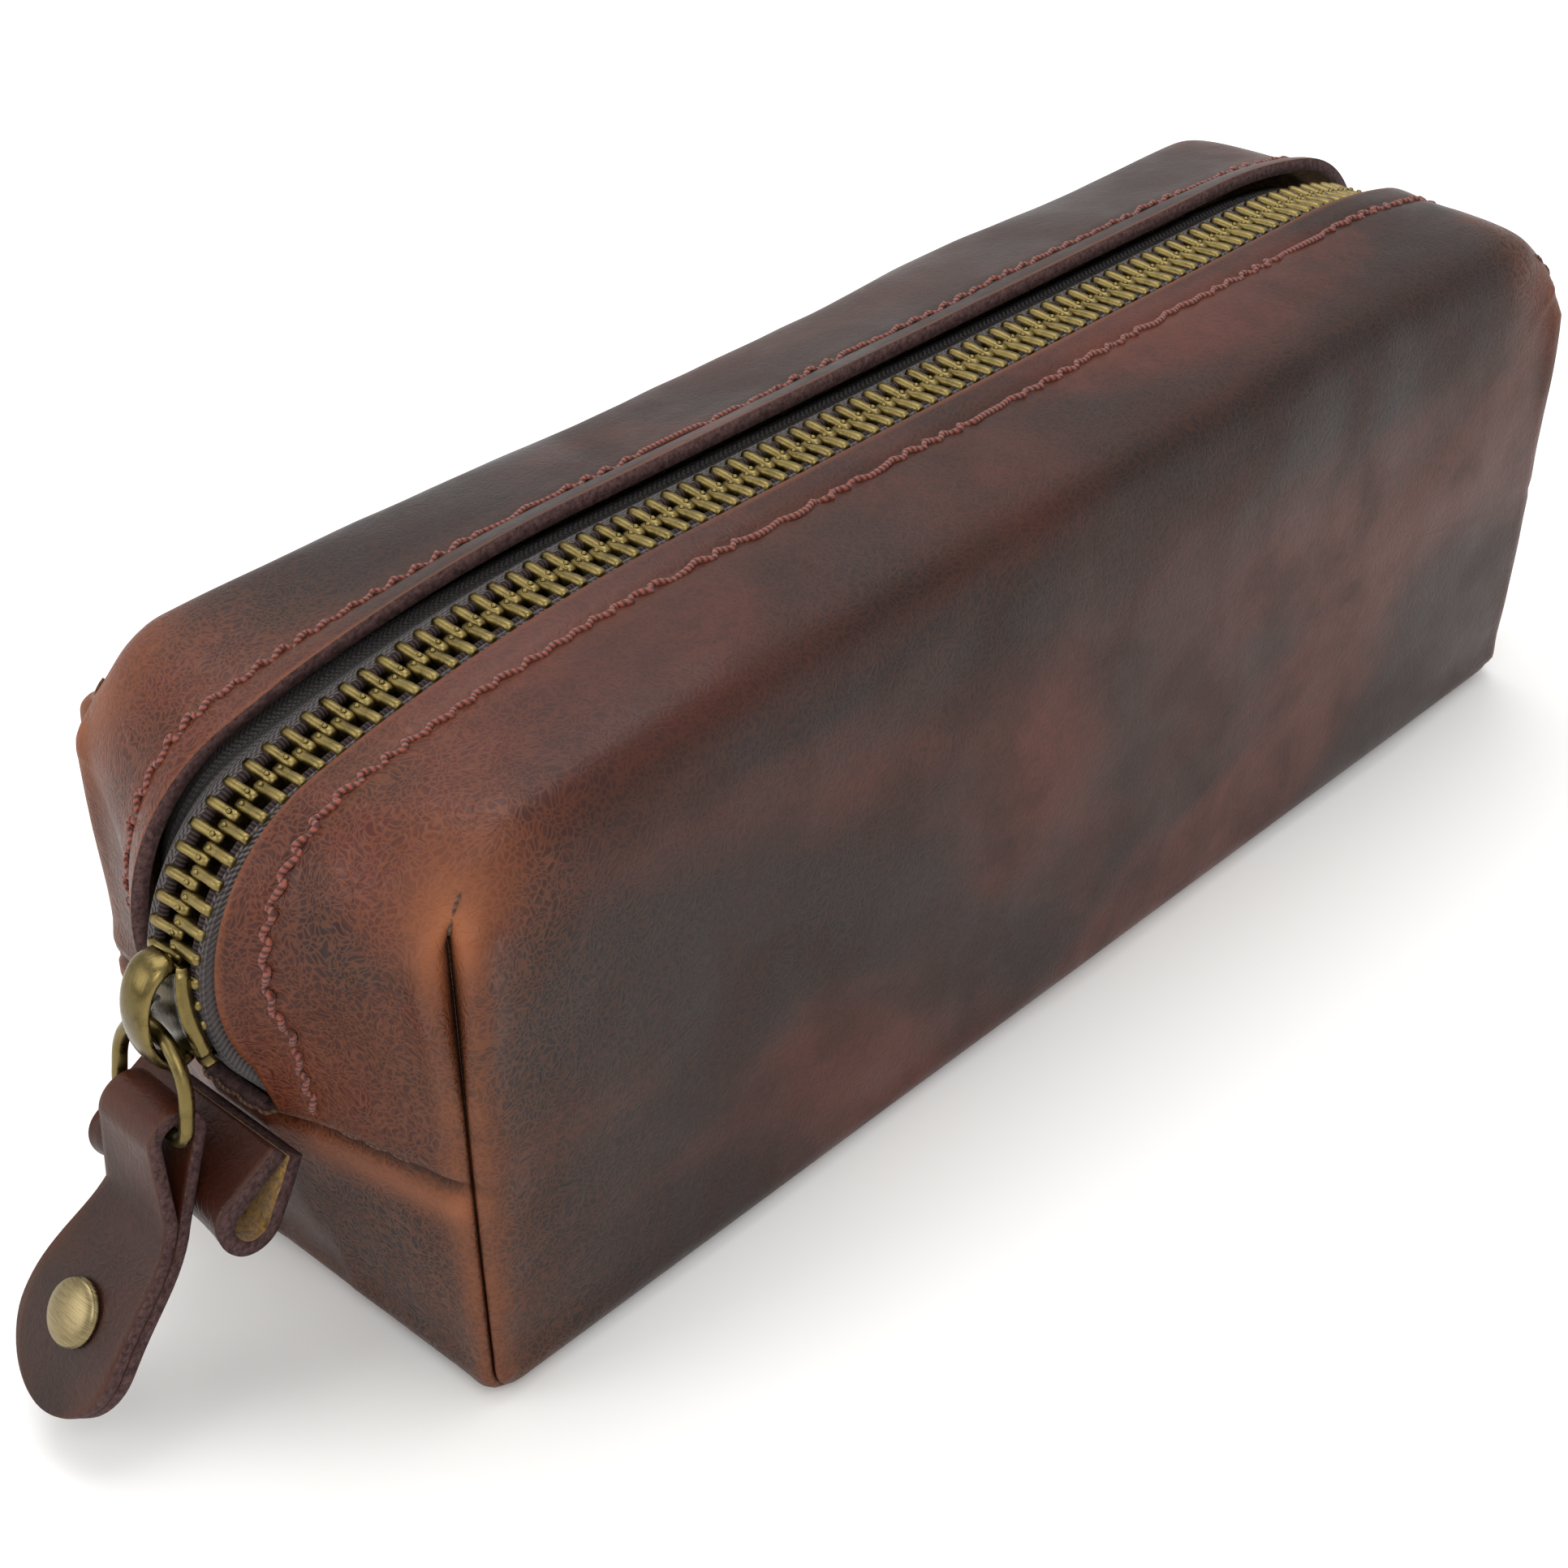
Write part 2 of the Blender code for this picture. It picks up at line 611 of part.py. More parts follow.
def pull_strap():
    """A strap folded round the ring's bottom bar, its two plies lying together below."""
    ply = (STRAP_LEATHER + GAP) / 2
    places = []
    for distance in steps(STRAP_LENGTH, LOOP_LENGTH, 10):
        places.append((distance, ply))
    places += loop_half(LOOP_RADIUS, LOOP_LENGTH, ply)[::-1]
    places += [(along, -across_ply) for along, across_ply in places[-2::-1]]
    rows = []
    for along, across_ply in places:
        x, z, lean = strap_middle(along)
        x -= across_ply * math.cos(lean)
        z += across_ply * math.sin(lean)
        half = strap_half_width(along)
        rows.append([(x, half * side, z) for side in (-1, -0.5, 0, 0.5, 1)])
    strap = sheet_from("pull_strap", rows, STRAP_LEATHER, STRAP_LOOK)
    drill(strap, "rivet_hole", RIVET_POST_RADIUS + GAP, rivet_place())


def rivet_place():
    """Frame of the rivet: its axis, local Z, points out of the strap's outer ply."""
    x, z, lean = strap_middle(STRAP_LENGTH - RIVET_FROM_TIP)
    return Matrix.Translation((x, 0, z)) @ Matrix.Rotation(lean - math.pi / 2, 4, "Y")


def rivet():
    """A domed cap on the outer ply, and a post with a flat cap behind."""
    face = STRAP_LEATHER + GAP / 2 + GAP
    dome = [
        (RIVET_CAP_RADIUS * math.sin(a), face + RIVET_RIM + (RIVET_DOME - RIVET_RIM) * math.cos(a))
        for a in steps(0, math.pi / 2, 5)
    ]
    turned("rivet_cap", dome + [(RIVET_CAP_RADIUS, face), (0, face)], rivet_place(), BRASS_LOOK)
    back = -face - GAP
    post = [
        (0, face - GAP),
        (RIVET_POST_RADIUS, face - GAP),
        (RIVET_POST_RADIUS, back),
        (RIVET_CAP_RADIUS, back),
        (RIVET_CAP_RADIUS, back - RIVET_RIM),
        (0, back - 2 * RIVET_RIM),
    ]
    turned("rivet_post", post, rivet_place(), BRASS_LOOK)


# End tab


def tab_root():
    """(x, z) of the fold's closed end, against the near wall and just under the seam's thread."""
    half = TAB_LEATHER + GAP / 2
    z = SEAM_HEIGHT - THREAD_RADIUS - GAP - half * math.sin(TAB_LEAN)
    low = z - half * math.sin(TAB_LEAN)
    seam = nose_foot(NEAR_NOSE, NEAR_UNDER, 0)
    wall = mix(lower_end(0)[0], seam, (low - BOTTOM_RADIUS) / (SEAM_HEIGHT - BOTTOM_RADIUS))
    return (-wall[0] - GAP - half * math.cos(TAB_LEAN), z)


def end_tab():
    """A folded loop of leather sewn into the near seam, open at both sides."""
    ply = (TAB_LEATHER + GAP) / 2
    half = [(0.0, ply)]
    cosine = (TAB_LOBE_RADIUS - ply) / TAB_LENGTH
    tangent = math.acos(cosine)
    half.append((TAB_LENGTH / 3, mix(ply, TAB_LOBE_RADIUS * math.sin(tangent), 1 / 4)))
    for angle in steps(math.pi - tangent, 0, 6):
        half.append((TAB_LENGTH + TAB_LOBE_RADIUS * math.cos(angle), TAB_LOBE_RADIUS * math.sin(angle)))
    places = half + [(along, -wide) for along, wide in half[-2::-1]]
    root_x, root_z = tab_root()
    sine, cosine = math.sin(TAB_LEAN), math.cos(TAB_LEAN)
    rows = []
    for along, wide in places:
        x = root_x - along * sine - wide * cosine
        z = root_z - along * cosine + wide * sine
        rows.append([(x, y, z) for y in (TAB_RIGHT, TAB_LEFT)])
    sheet_from("end_tab", rows, TAB_LEATHER, STRAP_LOOK)


# Thread


def threads():
    """Stitching beside the zip, down the four corner seams and across the two ends."""
    row = ZIP_EDGE + STITCH_FROM_EDGE
    for name, side in (("zip_stitching_left", 1), ("zip_stitching_right", -1)):
        loop = body_loop(row, -THREAD_OFF)[: FAR_SEAM + 1]
        for seam, above in ((0, 1), (-1, -2)):
            clear = (2 * THREAD_RADIUS + GAP) / math.dist(loop[seam], loop[above])
            loop[seam] = mix(loop[seam], loop[above], clear)
        tube(name, [(x, side * row, z) for x, z in loop], THREAD_RADIUS, THREAD_LOOK)
    y, inset = side_rounding(math.pi / 4, THREAD_OFF)
    loop = body_loop(y, inset)
    count = CORNER_STEPS + 1
    ends = {"near": loop[: UPPER_POINTS - 1], "far": loop[UPPER_POINTS + 1 : FAR_SEAM + 1][::-1]}
    lows = {"near": loop[-1], "far": loop[-2 * count]}
    for end in ends:
        seam = [p for p in [lows[end]] + ends[end] if p[1] < CORNER_STITCH_TOP]
        for name, side in (("left", 1), ("right", -1)):
            points = [(x, side * y, z) for x, z in seam]
            tube(f"corner_stitching_{end}_{name}", points, THREAD_RADIUS, THREAD_LOOK)
    rows = [y for y, inset in across() if inset == 0]
    for end, station in (("near", NEAR_SEAM), ("far", FAR_SEAM)):
        seam = [(y, body_loop(y, -THREAD_OFF)[station]) for y in rows]
        tube(f"end_stitching_{end}", [(x, y, z) for y, (x, z) in seam], THREAD_RADIUS, THREAD_LOOK)


# Joint axes


def axis(name, place, held, parent=None, turn=0.0):
    """An empty on a joint's axis, which carries these objects; turn is about the vertical."""
    empty = bpy.data.objects.new(name, None)
    empty.empty_display_size = 5 * MM
    bpy.context.scene.collection.objects.link(empty)
    empty.location = (place[0], 0, place[1])
    empty.rotation_euler.z = turn
    if parent:
        empty.parent = parent
        empty.matrix_parent_inverse = Matrix.Translation(parent.location).inverted()
    for item in held:
        obj = bpy.data.objects[item]
        obj.parent = empty
        obj.matrix_parent_inverse = Matrix.Translation(empty.location).inverted()
    return empty


def axes():
    """The slider carries the ring, which carries the strap; the tab bends where it is sewn in."""
    slider = axis("slider_axis", NOSE, ["slider_body", "slider_lower_plate", "slider_crown", "slider_lock_spring"])
    ring = axis("ring_axis", ring_top(), ["pull_ring"], slider, PULL_TURN)
    axis("strap_axis", ring_bottom(), ["pull_strap", "rivet_cap", "rivet_post", "rivet_hole"], ring)
    axis("tab_axis", tab_root(), ["end_tab"])


clear_scene()
PARTS = collection("shaving_kit_bag")
CUTTERS = collection("cutters", cutters=True)
LEATHER_LOOK = material("pull_up_leather", (0.072, 0.028, 0.019), 0.42)
STRAP_LOOK = material("strap_leather", (0.045, 0.018, 0.013), 0.45)
TAPE_LOOK = material("zip_tape", (0.030, 0.021, 0.019), 0.9)
BRASS_LOOK = material("antique_brass", (0.33, 0.27, 0.13), 0.38, 1.0)
STEEL_LOOK = material("spring_steel", (0.45, 0.44, 0.42), 0.35, 1.0)
THREAD_LOOK = material("thread", (0.21, 0.072, 0.045), 0.8)

ZIP_RUNS = zip_pieces()
ZIP_LENGTH = sum(length for length, _ in ZIP_RUNS)
FIRST_TOOTH = ZIP_RUNS[0][0] + (NEAR_UNDER + SLIDER_ANGLE) * ZIP_RADIUS - STOP_LENGTH
LAST_TOOTH = ZIP_LENGTH - ZIP_RUNS[-1][0] / 2

leather_body()
for side_name, side_sign in (("left", 1), ("right", -1)):
    tape(f"zip_tape_{side_name}", side_sign)
    teeth(f"zip_teeth_{side_name}", side_sign)
stops()
plate("slider_body", 1)
plate("slider_lower_plate", -1)
crown()
pull_ring()
pull_strap()
rivet()
end_tab()
threads()
axes()
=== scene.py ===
"""Leather shaving kit bag: the detailed model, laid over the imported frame.

Metres, +Z up, the origin at the middle of the flat bottom. The bag's length is along X with the
closed zip's slider at the -X end, called near here, and the zip runs along y = 0.
"""

import json
import math

import bmesh
import bpy
import numpy as np
from mathutils import Matrix, Vector


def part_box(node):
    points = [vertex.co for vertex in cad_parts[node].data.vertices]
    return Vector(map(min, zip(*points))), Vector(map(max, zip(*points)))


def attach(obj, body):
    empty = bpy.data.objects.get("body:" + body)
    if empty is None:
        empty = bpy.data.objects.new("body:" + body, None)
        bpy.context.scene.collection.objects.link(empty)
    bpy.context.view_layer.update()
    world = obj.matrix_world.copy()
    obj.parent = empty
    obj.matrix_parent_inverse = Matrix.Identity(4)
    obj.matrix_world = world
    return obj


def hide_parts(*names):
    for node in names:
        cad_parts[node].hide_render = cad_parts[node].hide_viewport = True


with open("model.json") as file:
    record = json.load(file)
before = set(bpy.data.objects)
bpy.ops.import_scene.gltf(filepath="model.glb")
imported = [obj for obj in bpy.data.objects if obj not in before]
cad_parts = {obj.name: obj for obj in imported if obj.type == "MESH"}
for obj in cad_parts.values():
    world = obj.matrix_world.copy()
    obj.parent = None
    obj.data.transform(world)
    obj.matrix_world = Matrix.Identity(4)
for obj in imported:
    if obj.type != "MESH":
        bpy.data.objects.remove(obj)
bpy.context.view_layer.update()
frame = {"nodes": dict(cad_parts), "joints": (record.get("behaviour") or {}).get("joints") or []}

bl_info = {
    "name": "Leather shaving kit bag",
    "version": (1, 0, 0),
    "blender": (4, 5, 0),
    "location": "View3D > Sidebar > Shaving kit bag",
    "description": "Builds a sewn leather pouch with a metal zip, a riveted pull and an end tab",
    "category": "Object",
}

MM = 0.001
JOINTS = {joint["name"]: joint for joint in frame["joints"]}
NOSE = JOINTS["slider_travel"]["pos_m"]  # centre of the near end's round nose
RING_TOP = JOINTS["ring_swing"]["pos_m"]
RING_BAR = JOINTS["strap_swing"]["pos_m"]
PULL_AXIS = JOINTS["strap_swing"]["axis"]
TAB_ROOT = JOINTS["tab_flex"]["pos_m"]
_, HALF_WIDTH, ZIP_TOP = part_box("leather_body")[1]

# The bag's lines, shared with the frame
HALF_LENGTH = 104.0 * MM  # to the upright corner seams
SIDE_TOP = 75.0 * MM  # height of the long top edges
SEAM_HEIGHT = 33.0 * MM  # level seam across each end
LEATHER = 1.8 * MM
EDGE_ROUND = 4.5 * MM  # rounding between the side walls and the rest
CORNER_RADIUS = 12.0 * MM  # upper corners of the side walls
BOTTOM_RADIUS = 5.0 * MM
BASE_SPANS = 42
BLEND_POWER = 0.7  # how the end falls back from the zip's nose to the corner seam
FAR_NOSE = (89.5 * MM, 53.5 * MM)
NOSE_RADIUS = 21.75 * MM
NEAR_UNDER, FAR_UNDER = math.radians(35), math.radians(20)  # each nose goes on this far below its centre
NOSE_OVER = math.radians(74)  # and up to here, where a flat shoulder takes over
ZIP_EDGE = 6.8 * MM  # cut edge of the leather, from the zip's middle
BAND = 5.0 * MM  # half width of the flat strip along the zip
ZIP_DEPTH = 2.45 * MM  # the zip's middle lies this far under the leather's face
TOOTH_PITCH = 2.68 * MM
SLIDER_ANGLE = math.radians(-5)  # where it rests, from level with the nose's centre
ZIP_RADIUS = NOSE_RADIUS - ZIP_DEPTH

# The leather's mesh and seams
MERGE = 1e-7  # points closer than this are one
SKIN_MERGE = 0.02 * MM
FAR_OFF = 1.0  # further than anything on the bag
ROW_PLACES = [
    0, 0.35, 0.8, 1.5, 2.4, 3.3, 4.0, 4.6, 5.2, 6.0, 7.1, 8.3, 9.6, 10.9, 12.3, 13.7, 15.1, 16.5, 17.9, 19.1
]
ROW_PLACES = np.array(ROW_PLACES) * MM  # rows of the leather's face, from its cut edge
STITCH_ROW = 4.6 * MM  # from the cut edge to the stitches
# Steps round the long folded edges, close together at the seam
TURN_DEGREES = [0, 8, 16, 24, 31, 36, 40, 42.5, 44, 45, 46, 47.5, 50, 54, 59, 66, 74, 82, 90]
NEAR_SLIT_TOP, FAR_SLIT_TOP = 67 * MM, 64 * MM  # where the open upper part of each corner seam ends
CORNER_STRIP = 9.5 * MM  # the corner seams run where the side line is this close to its end
SEAM_REACH = 14 * MM  # a level seam draws the hide in up to this far from it

# The pull, in its own measures
STRAP_LENGTH = 35.7 * MM
STRAP_PLY = 1.5 * MM
HIDE_HALF = LEATHER / 2
STRAP_LIP = 0.18 * MM  # rounding of its raw edges
RIVET_UP = 11.4 * MM  # from the strap's tip to its rivet
RING_WIRE = 0.85 * MM

# The view that shows the bag best
CAMERA_TARGET = (-28.298 * MM, -3.998 * MM, 33.156 * MM)
CAMERA_DISTANCE = 342.80 * MM
CAMERA_TURN = (-46.491, 34.314, -0.709)  # azimuth, elevation and roll, in degrees
CAMERA_LENS = 63.09317  # millimetres, on a sensor 36 mm wide


# Arrays


def mix(a, b, share):
    """a + (b - a) * share, for numbers or arrays."""
    return a + (b - a) * share


def ease(x, low, high):
    """0 below low, 1 above high, and 3t^2 - 2t^3 between them."""
    t = np.clip((x - low) / (high - low), 0, 1)
    return t * t * (3 - 2 * t)


def bump(x, width):
    """exp(-(x / width)^2), a smooth hump of height 1."""
    return np.exp(-((x / width) ** 2))


def noise(points, cell, seed):
    """Value noise, -1 to 1: random values on a cubic lattice of this cell, eased between its corners."""
    table = np.random.default_rng(seed).uniform(-1, 1, (32, 32, 32))
    place = np.asarray(points) / cell
    low = np.floor(place).astype(int)
    t = place - low
    t = t * t * (3 - 2 * t)
    total = 0
    for corner in np.ndindex(2, 2, 2):
        weight = np.prod(np.where(corner, t, 1 - t), axis=-1)
        index = (low + corner) % 32
        total = total + weight * table[index[..., 0], index[..., 1], index[..., 2]]
    return total


def arc(centre, radius, angles):
    """Points centre + radius * (cos, sin) of each angle."""
    return np.stack([centre[0] + radius * np.cos(angles), centre[1] + radius * np.sin(angles)], -1)


def lengths_along(points):
    """Distance along a line of points, from its first."""
    return np.concatenate([[0], np.cumsum(np.linalg.norm(np.diff(points, axis=0), axis=-1))])


def evenly(points, count):
    """count points at even distances along a line of points."""
    along = lengths_along(points)
    wanted = np.linspace(0, along[-1], count)
    return np.stack([np.interp(wanted, along, points[:, k]) for k in range(points.shape[1])], -1)


def unit(vectors):
    return vectors / np.maximum(np.linalg.norm(vectors, axis=-1, keepdims=True), 1e-12)


def grid_faces(rows, columns, wrap_rows=False, wrap_columns=False):
    """Quads (j, i), (j, i+1), (j+1, i+1), (j+1, i) of a grid, which may close on itself either way."""
    j = np.arange(rows if wrap_rows else rows - 1)[:, None]
    i = np.arange(columns if wrap_columns else columns - 1)[None, :]
    j2, i2 = (j + 1) % rows, (i + 1) % columns
    quads = np.stack(
        np.broadcast_arrays(j * columns + i, j * columns + i2, j2 * columns + i2, j2 * columns + i), -1
    )
    return quads.reshape(-1, 4)


# Blender


def clean(data, distance):
    """Merges points closer than a distance, drops loose ones and turns the faces outwards."""
    bm = bmesh.new()
    bm.from_mesh(data)
    bmesh.ops.remove_doubles(bm, verts=bm.verts, dist=distance)
    loose = [vertex for vertex in bm.verts if not vertex.link_faces]
    bmesh.ops.delete(bm, geom=loose, context="VERTS")
    bmesh.ops.recalc_face_normals(bm, faces=bm.faces)
    bm.to_mesh(data)
    bm.free()


def caps(rows, columns):
    """The two end faces of a tube whose rows are rings of this many points."""
    last = rows * columns
    return [list(range(columns)), list(range(last - 1, last - columns - 1, -1))]


def tube_faces(rows, columns):
    """A tube's side faces and its two ends."""
    return grid_faces(rows, columns, wrap_columns=True).tolist() + caps(rows, columns)


def piece(
    name, points, faces, looks, body, slot, replaces=(), maps=None, layers=None, picks=None, merge=MERGE
):
    """Makes a mesh piece from arrays, hangs it on its body's empty and hides the frame's parts that it
    replaces.

    maps is one (u, v) in millimetres per point, layers are named values per point, picks is the
    material number of each face, and points closer than merge become one, unless it is 0.
    """
    data = bpy.data.meshes.new(name)
    points = np.asarray(points, dtype=np.float64).reshape(-1, 3)
    data.from_pydata(points.tolist(), [], faces.tolist() if isinstance(faces, np.ndarray) else list(faces))
    if maps is not None:
        corners = np.empty(len(data.loops), dtype=np.int32)
        data.loops.foreach_get("vertex_index", corners)
        layer = data.uv_layers.new(name="lay")
        layer.data.foreach_set("uv", np.asarray(maps, dtype=np.float32).reshape(-1, 2)[corners].ravel())
    for key, values in (layers or {}).items():
        layer = data.attributes.new(key, "FLOAT", "POINT")
        layer.data.foreach_set("value", np.asarray(values, dtype=np.float32).ravel())
    for look in looks:
        data.materials.append(look)
    if picks is not None:
        data.polygons.foreach_set("material_index", np.asarray(picks, dtype=np.int32))
    data.polygons.foreach_set("use_smooth", np.full(len(data.polygons), True))
    data.update()
    if merge:
        clean(data, merge)
    obj = bpy.data.objects.new(name, data)
    bpy.context.scene.collection.objects.link(obj)
    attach(obj, body)
    if replaces:
        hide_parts(*replaces)
    return obj


def tube_points(path, radius, sides, reference, closed=False):
    """Rings round a path: each ring lies square to the path, turned from a reference direction.

    radius is one number or one per path point. A ring's point is
    path + radius * (cos a * side + sin a * up), with side = path direction x reference.
    """
    path = np.asarray(path)
    if closed:
        ahead = np.roll(path, -1, 0) - np.roll(path, 1, 0)
    else:
        ahead = np.gradient(path, axis=0)
    ahead = unit(ahead)
    side = unit(np.cross(ahead, reference))
    up = np.cross(side, ahead)
    angles = np.arange(sides) * 2 * math.pi / sides
    radius = np.broadcast_to(radius, len(path))[:, None, None]
    ring = side[:, None] * np.cos(angles)[:, None] + up[:, None] * np.sin(angles)[:, None]
    return path[:, None] + radius * ring


def spun(profile, count):
    """A closed profile of (radius, height) points turned about Z; the first and last lie on the axis."""
    profile = np.asarray(profile)
    angles = np.arange(count) * 2 * math.pi / count
    inner = profile[1:-1]
    ring = np.stack(
        [
            inner[:, None, 0] * np.cos(angles),
            inner[:, None, 0] * np.sin(angles),
            np.broadcast_to(inner[:, None, 1], (len(inner), count)),
        ],
        -1,
    ).reshape(-1, 3)
    points = np.concatenate([ring, [[0, 0, profile[0, 1]], [0, 0, profile[-1, 1]]]])
    faces = grid_faces(len(inner), count, wrap_columns=True)[:, ::-1].tolist()
    last = (len(inner) - 1) * count
    for k in range(count):
        k2 = (k + 1) % count
        faces.append((len(ring), k, k2))
        faces.append((len(ring) + 1, last + k2, last + k))
    return points, faces


# Materials


def colour(text):
    """An sRGB hex colour as linear RGBA."""
    parts = [int(text[k : k + 2], 16) / 255 for k in (1, 3, 5)]
    return tuple(c / 12.92 if c <= 0.04045 else ((c + 0.055) / 1.055) ** 2.4 for c in parts) + (1.0,)


def node(tree, kind, *first_inputs, out=None, **values):
    """Adds a node and returns its output of that name, or the first one that it uses.

    The first inputs are given in order. A lower-case key sets a property of the node, n6 stands
    for its input 6, and any other key is an input's name with _ for a space. Sockets are linked.
    """
    made = tree.nodes.new("ShaderNode" + kind)
    values.update((f"n{k}", value) for k, value in enumerate(first_inputs))
    for key, value in values.items():
        if key[0] == "n" and key[1:].isdigit():
            socket = made.inputs[int(key[1:])]
        elif key[0].islower():
            setattr(made, key, value)
            continue
        else:
            socket = made.inputs[key.replace("_", " ")]
        if isinstance(value, bpy.types.NodeSocket):
            tree.links.new(value, socket)
        else:
            socket.default_value = value
    return made.outputs[out] if out else next(socket for socket in made.outputs if socket.enabled)


def material(name, **values):
    """A new material with these values on its Principled shader, its node tree and that shader."""
    made = bpy.data.materials.new(name)
    made.use_nodes = True
    shader = made.node_tree.nodes["Principled BSDF"]
    for key, value in values.items():
        shader.inputs[key.replace("_", " ")].default_value = value
    return made, made.node_tree, shader


def dress(tree, shader, base, height=None, strength=1.0, depth=0.0, roughness=None):
    """Links the shader's colour, its roughness, and a relief that is at most this deep."""
    tree.links.new(base, shader.inputs["Base Color"])
    if roughness is not None:
        tree.links.new(roughness, shader.inputs["Roughness"])
    if height is not None:
        relief = node(tree, "Bump", Strength=strength, Distance=depth, Height=height)
        tree.links.new(relief, shader.inputs["Normal"])


def pull_up_leather(colours, name="pull_up_leather", darkening=0.0):
    """Waxed pull-up cowhide: dark oil pushed about under a translucent finish.

    It gives cloudy dark and reddish patches, a paler tan wherever it is bent or rubbed, a soft
    waxy gloss, pores a few tenths of a millimetre across and a net of creases in worn areas. Over these lie a
    painted grey sheen, which stands in for a soft highlight, and a painted shadow deep in the seams.
    """
    made, tree, shader = material(name, Specular_IOR_Level=0.24, Coat_Weight=0.03, Coat_Roughness=0.35)
    place = node(tree, "TexCoord", out="Object")
    wear, shade, painted_sheen, creased = (
        node(tree, "Attribute", out="Fac", attribute_name=key) for key in ("wear", "painted_seam_shadow", "painted_sheen", "crease")
    )
    # Patterns, from clouds 46 mm across to pores of half a millimetre
    long_way = node(tree, "Mapping", Vector=place, Scale=(0.55, 1.0, 1.0), Rotation=(0.0, 0.35, 0.0))
    clouds = node(
        tree, "TexNoise", Vector=long_way, Scale=1 / (46 * MM), Detail=4.0, Roughness=0.48, Distortion=0.7
    )
    patches = node(
        tree, "TexNoise", Vector=place, Scale=1 / (15 * MM), Detail=6.0, Roughness=0.6, Distortion=0.3
    )
    fine = node(tree, "TexNoise", Vector=place, Scale=1 / (1.6 * MM), Detail=5.0, Roughness=0.7)
    pores = node(tree, "TexVoronoi", feature="F1", Vector=place, Scale=1 / (0.55 * MM), Randomness=1.0)
    drift = node(tree, "TexNoise", out="Color", Vector=place, Scale=1 / (5 * MM), Detail=2.0)
    warp = node(tree, "Mix", 0.006, n4=place, n5=drift, data_type="VECTOR")
    creases = []
    for cell, line in ((1.7 * MM, 0.16), (0.8 * MM, 0.22)):
        net = node(tree, "TexVoronoi", feature="DISTANCE_TO_EDGE", Vector=warp, Scale=1 / cell)
        lines = node(tree, "MapRange", net, 0.0, line, 1.0, 0.0, interpolation_type="SMOOTHSTEP")
        creases.append(node(tree, "Math", lines, creased, operation="MULTIPLY"))
    # Colour: each pattern lays one more colour over those before it, among them a painted grey sheen and a
    # painted shadow deep in the seams
    deep, red, tan, mid, painted_sheen_colour, shadow = (
        colour(value)
        for value in (
            colours.leather_dark,
            colours.leather_red,
            colours.leather_worn,
            colours.leather_mid,
            colours.leather_bloom,
            colours.leather_slit,
        )
    )
    reddish = node(tree, "MapRange", clouds, 0.40, 0.60, interpolation_type="SMOOTHSTEP")
    mottle = node(tree, "MapRange", patches, 0.42, 0.68, 0.0, 0.65, interpolation_type="SMOOTHSTEP")
    specks = node(tree, "MapRange", fine, 0.35, 0.72, 0.0, 0.30, interpolation_type="SMOOTHSTEP")
    uneven = node(tree, "MapRange", patches, 0.30, 0.62, 0.45, 1.15, interpolation_type="SMOOTHSTEP")
    worn = node(tree, "Math", wear, uneven, operation="MULTIPLY", use_clamp=True)
    crossed = node(tree, "Math", creases[1], 0.30, operation="MULTIPLY")
    # Painted grey sheen, broken up by the clouds
    cloudy = node(tree, "MapRange", clouds, 0.35, 0.7, 0.6, 1.0, interpolation_type="SMOOTHSTEP")
    painted_sheen_share = node(tree, "Math", painted_sheen, cloudy, operation="MULTIPLY")
    painted_sheen_share = node(tree, "Math", painted_sheen_share, 0.42, operation="MULTIPLY")
    base = node(tree, "Mix", reddish, n6=deep, n7=red, data_type="RGBA")
    for share, over in (
        (mottle, mid),
        (specks, deep),
        (worn, tan),
        (crossed, tan),
        # painted grey sheen
        (painted_sheen_share, painted_sheen_colour),
        (darkening, deep),
        # painted shadow deep in the seams
        (shade, shadow),
    ):
        base = node(tree, "Mix", share, n6=base, n7=over, data_type="RGBA")
    # Gloss and relief
    gloss = node(tree, "MapRange", patches, 0.3, 0.7, 0.36, 0.52, interpolation_type="SMOOTHSTEP")
    duller = node(tree, "Math", wear, 0.12, operation="MULTIPLY")
    gloss = node(tree, "Math", gloss, duller, operation="ADD", use_clamp=True)
    height = node(tree, "Math", creases[0], -0.10, operation="MULTIPLY")
    for pattern, share in ((creases[1], -0.055), (pores, 0.018), (fine, 0.05)):
        part = node(tree, "Math", pattern, share, operation="MULTIPLY")
        height = node(tree, "Math", height, part, operation="ADD")
    dress(tree, shader, base, height, 0.55, 1 * MM, gloss)
    return made


def strap_leather(colours):
    """The same pull-up hide as the bag's, skived from a darker, more even part of it."""
    return pull_up_leather(colours, "strap_pull_up_leather", 0.55)


def cut_leather(colours):
    """Raw cut edge of the same hide: matt, dark and reddish-grey loose fibres."""
    made, tree, shader = material("raw_cut_leather_edge", Roughness=0.8, Specular_IOR_Level=0.25)
    place = node(tree, "TexCoord", out="Object")
    fibres = node(tree, "TexNoise", Vector=place, Scale=1 / (0.7 * MM), Detail=6.0, Roughness=0.75)
    share = node(tree, "MapRange", fibres, 0.32, 0.7, interpolation_type="SMOOTHSTEP")
    base = node(
        tree, "Mix", share, n6=colour(colours.edge_dark), n7=colour(colours.edge_light), data_type="RGBA"
    )
    dress(tree, shader, base, fibres, 0.8, 0.35 * MM)
    return made


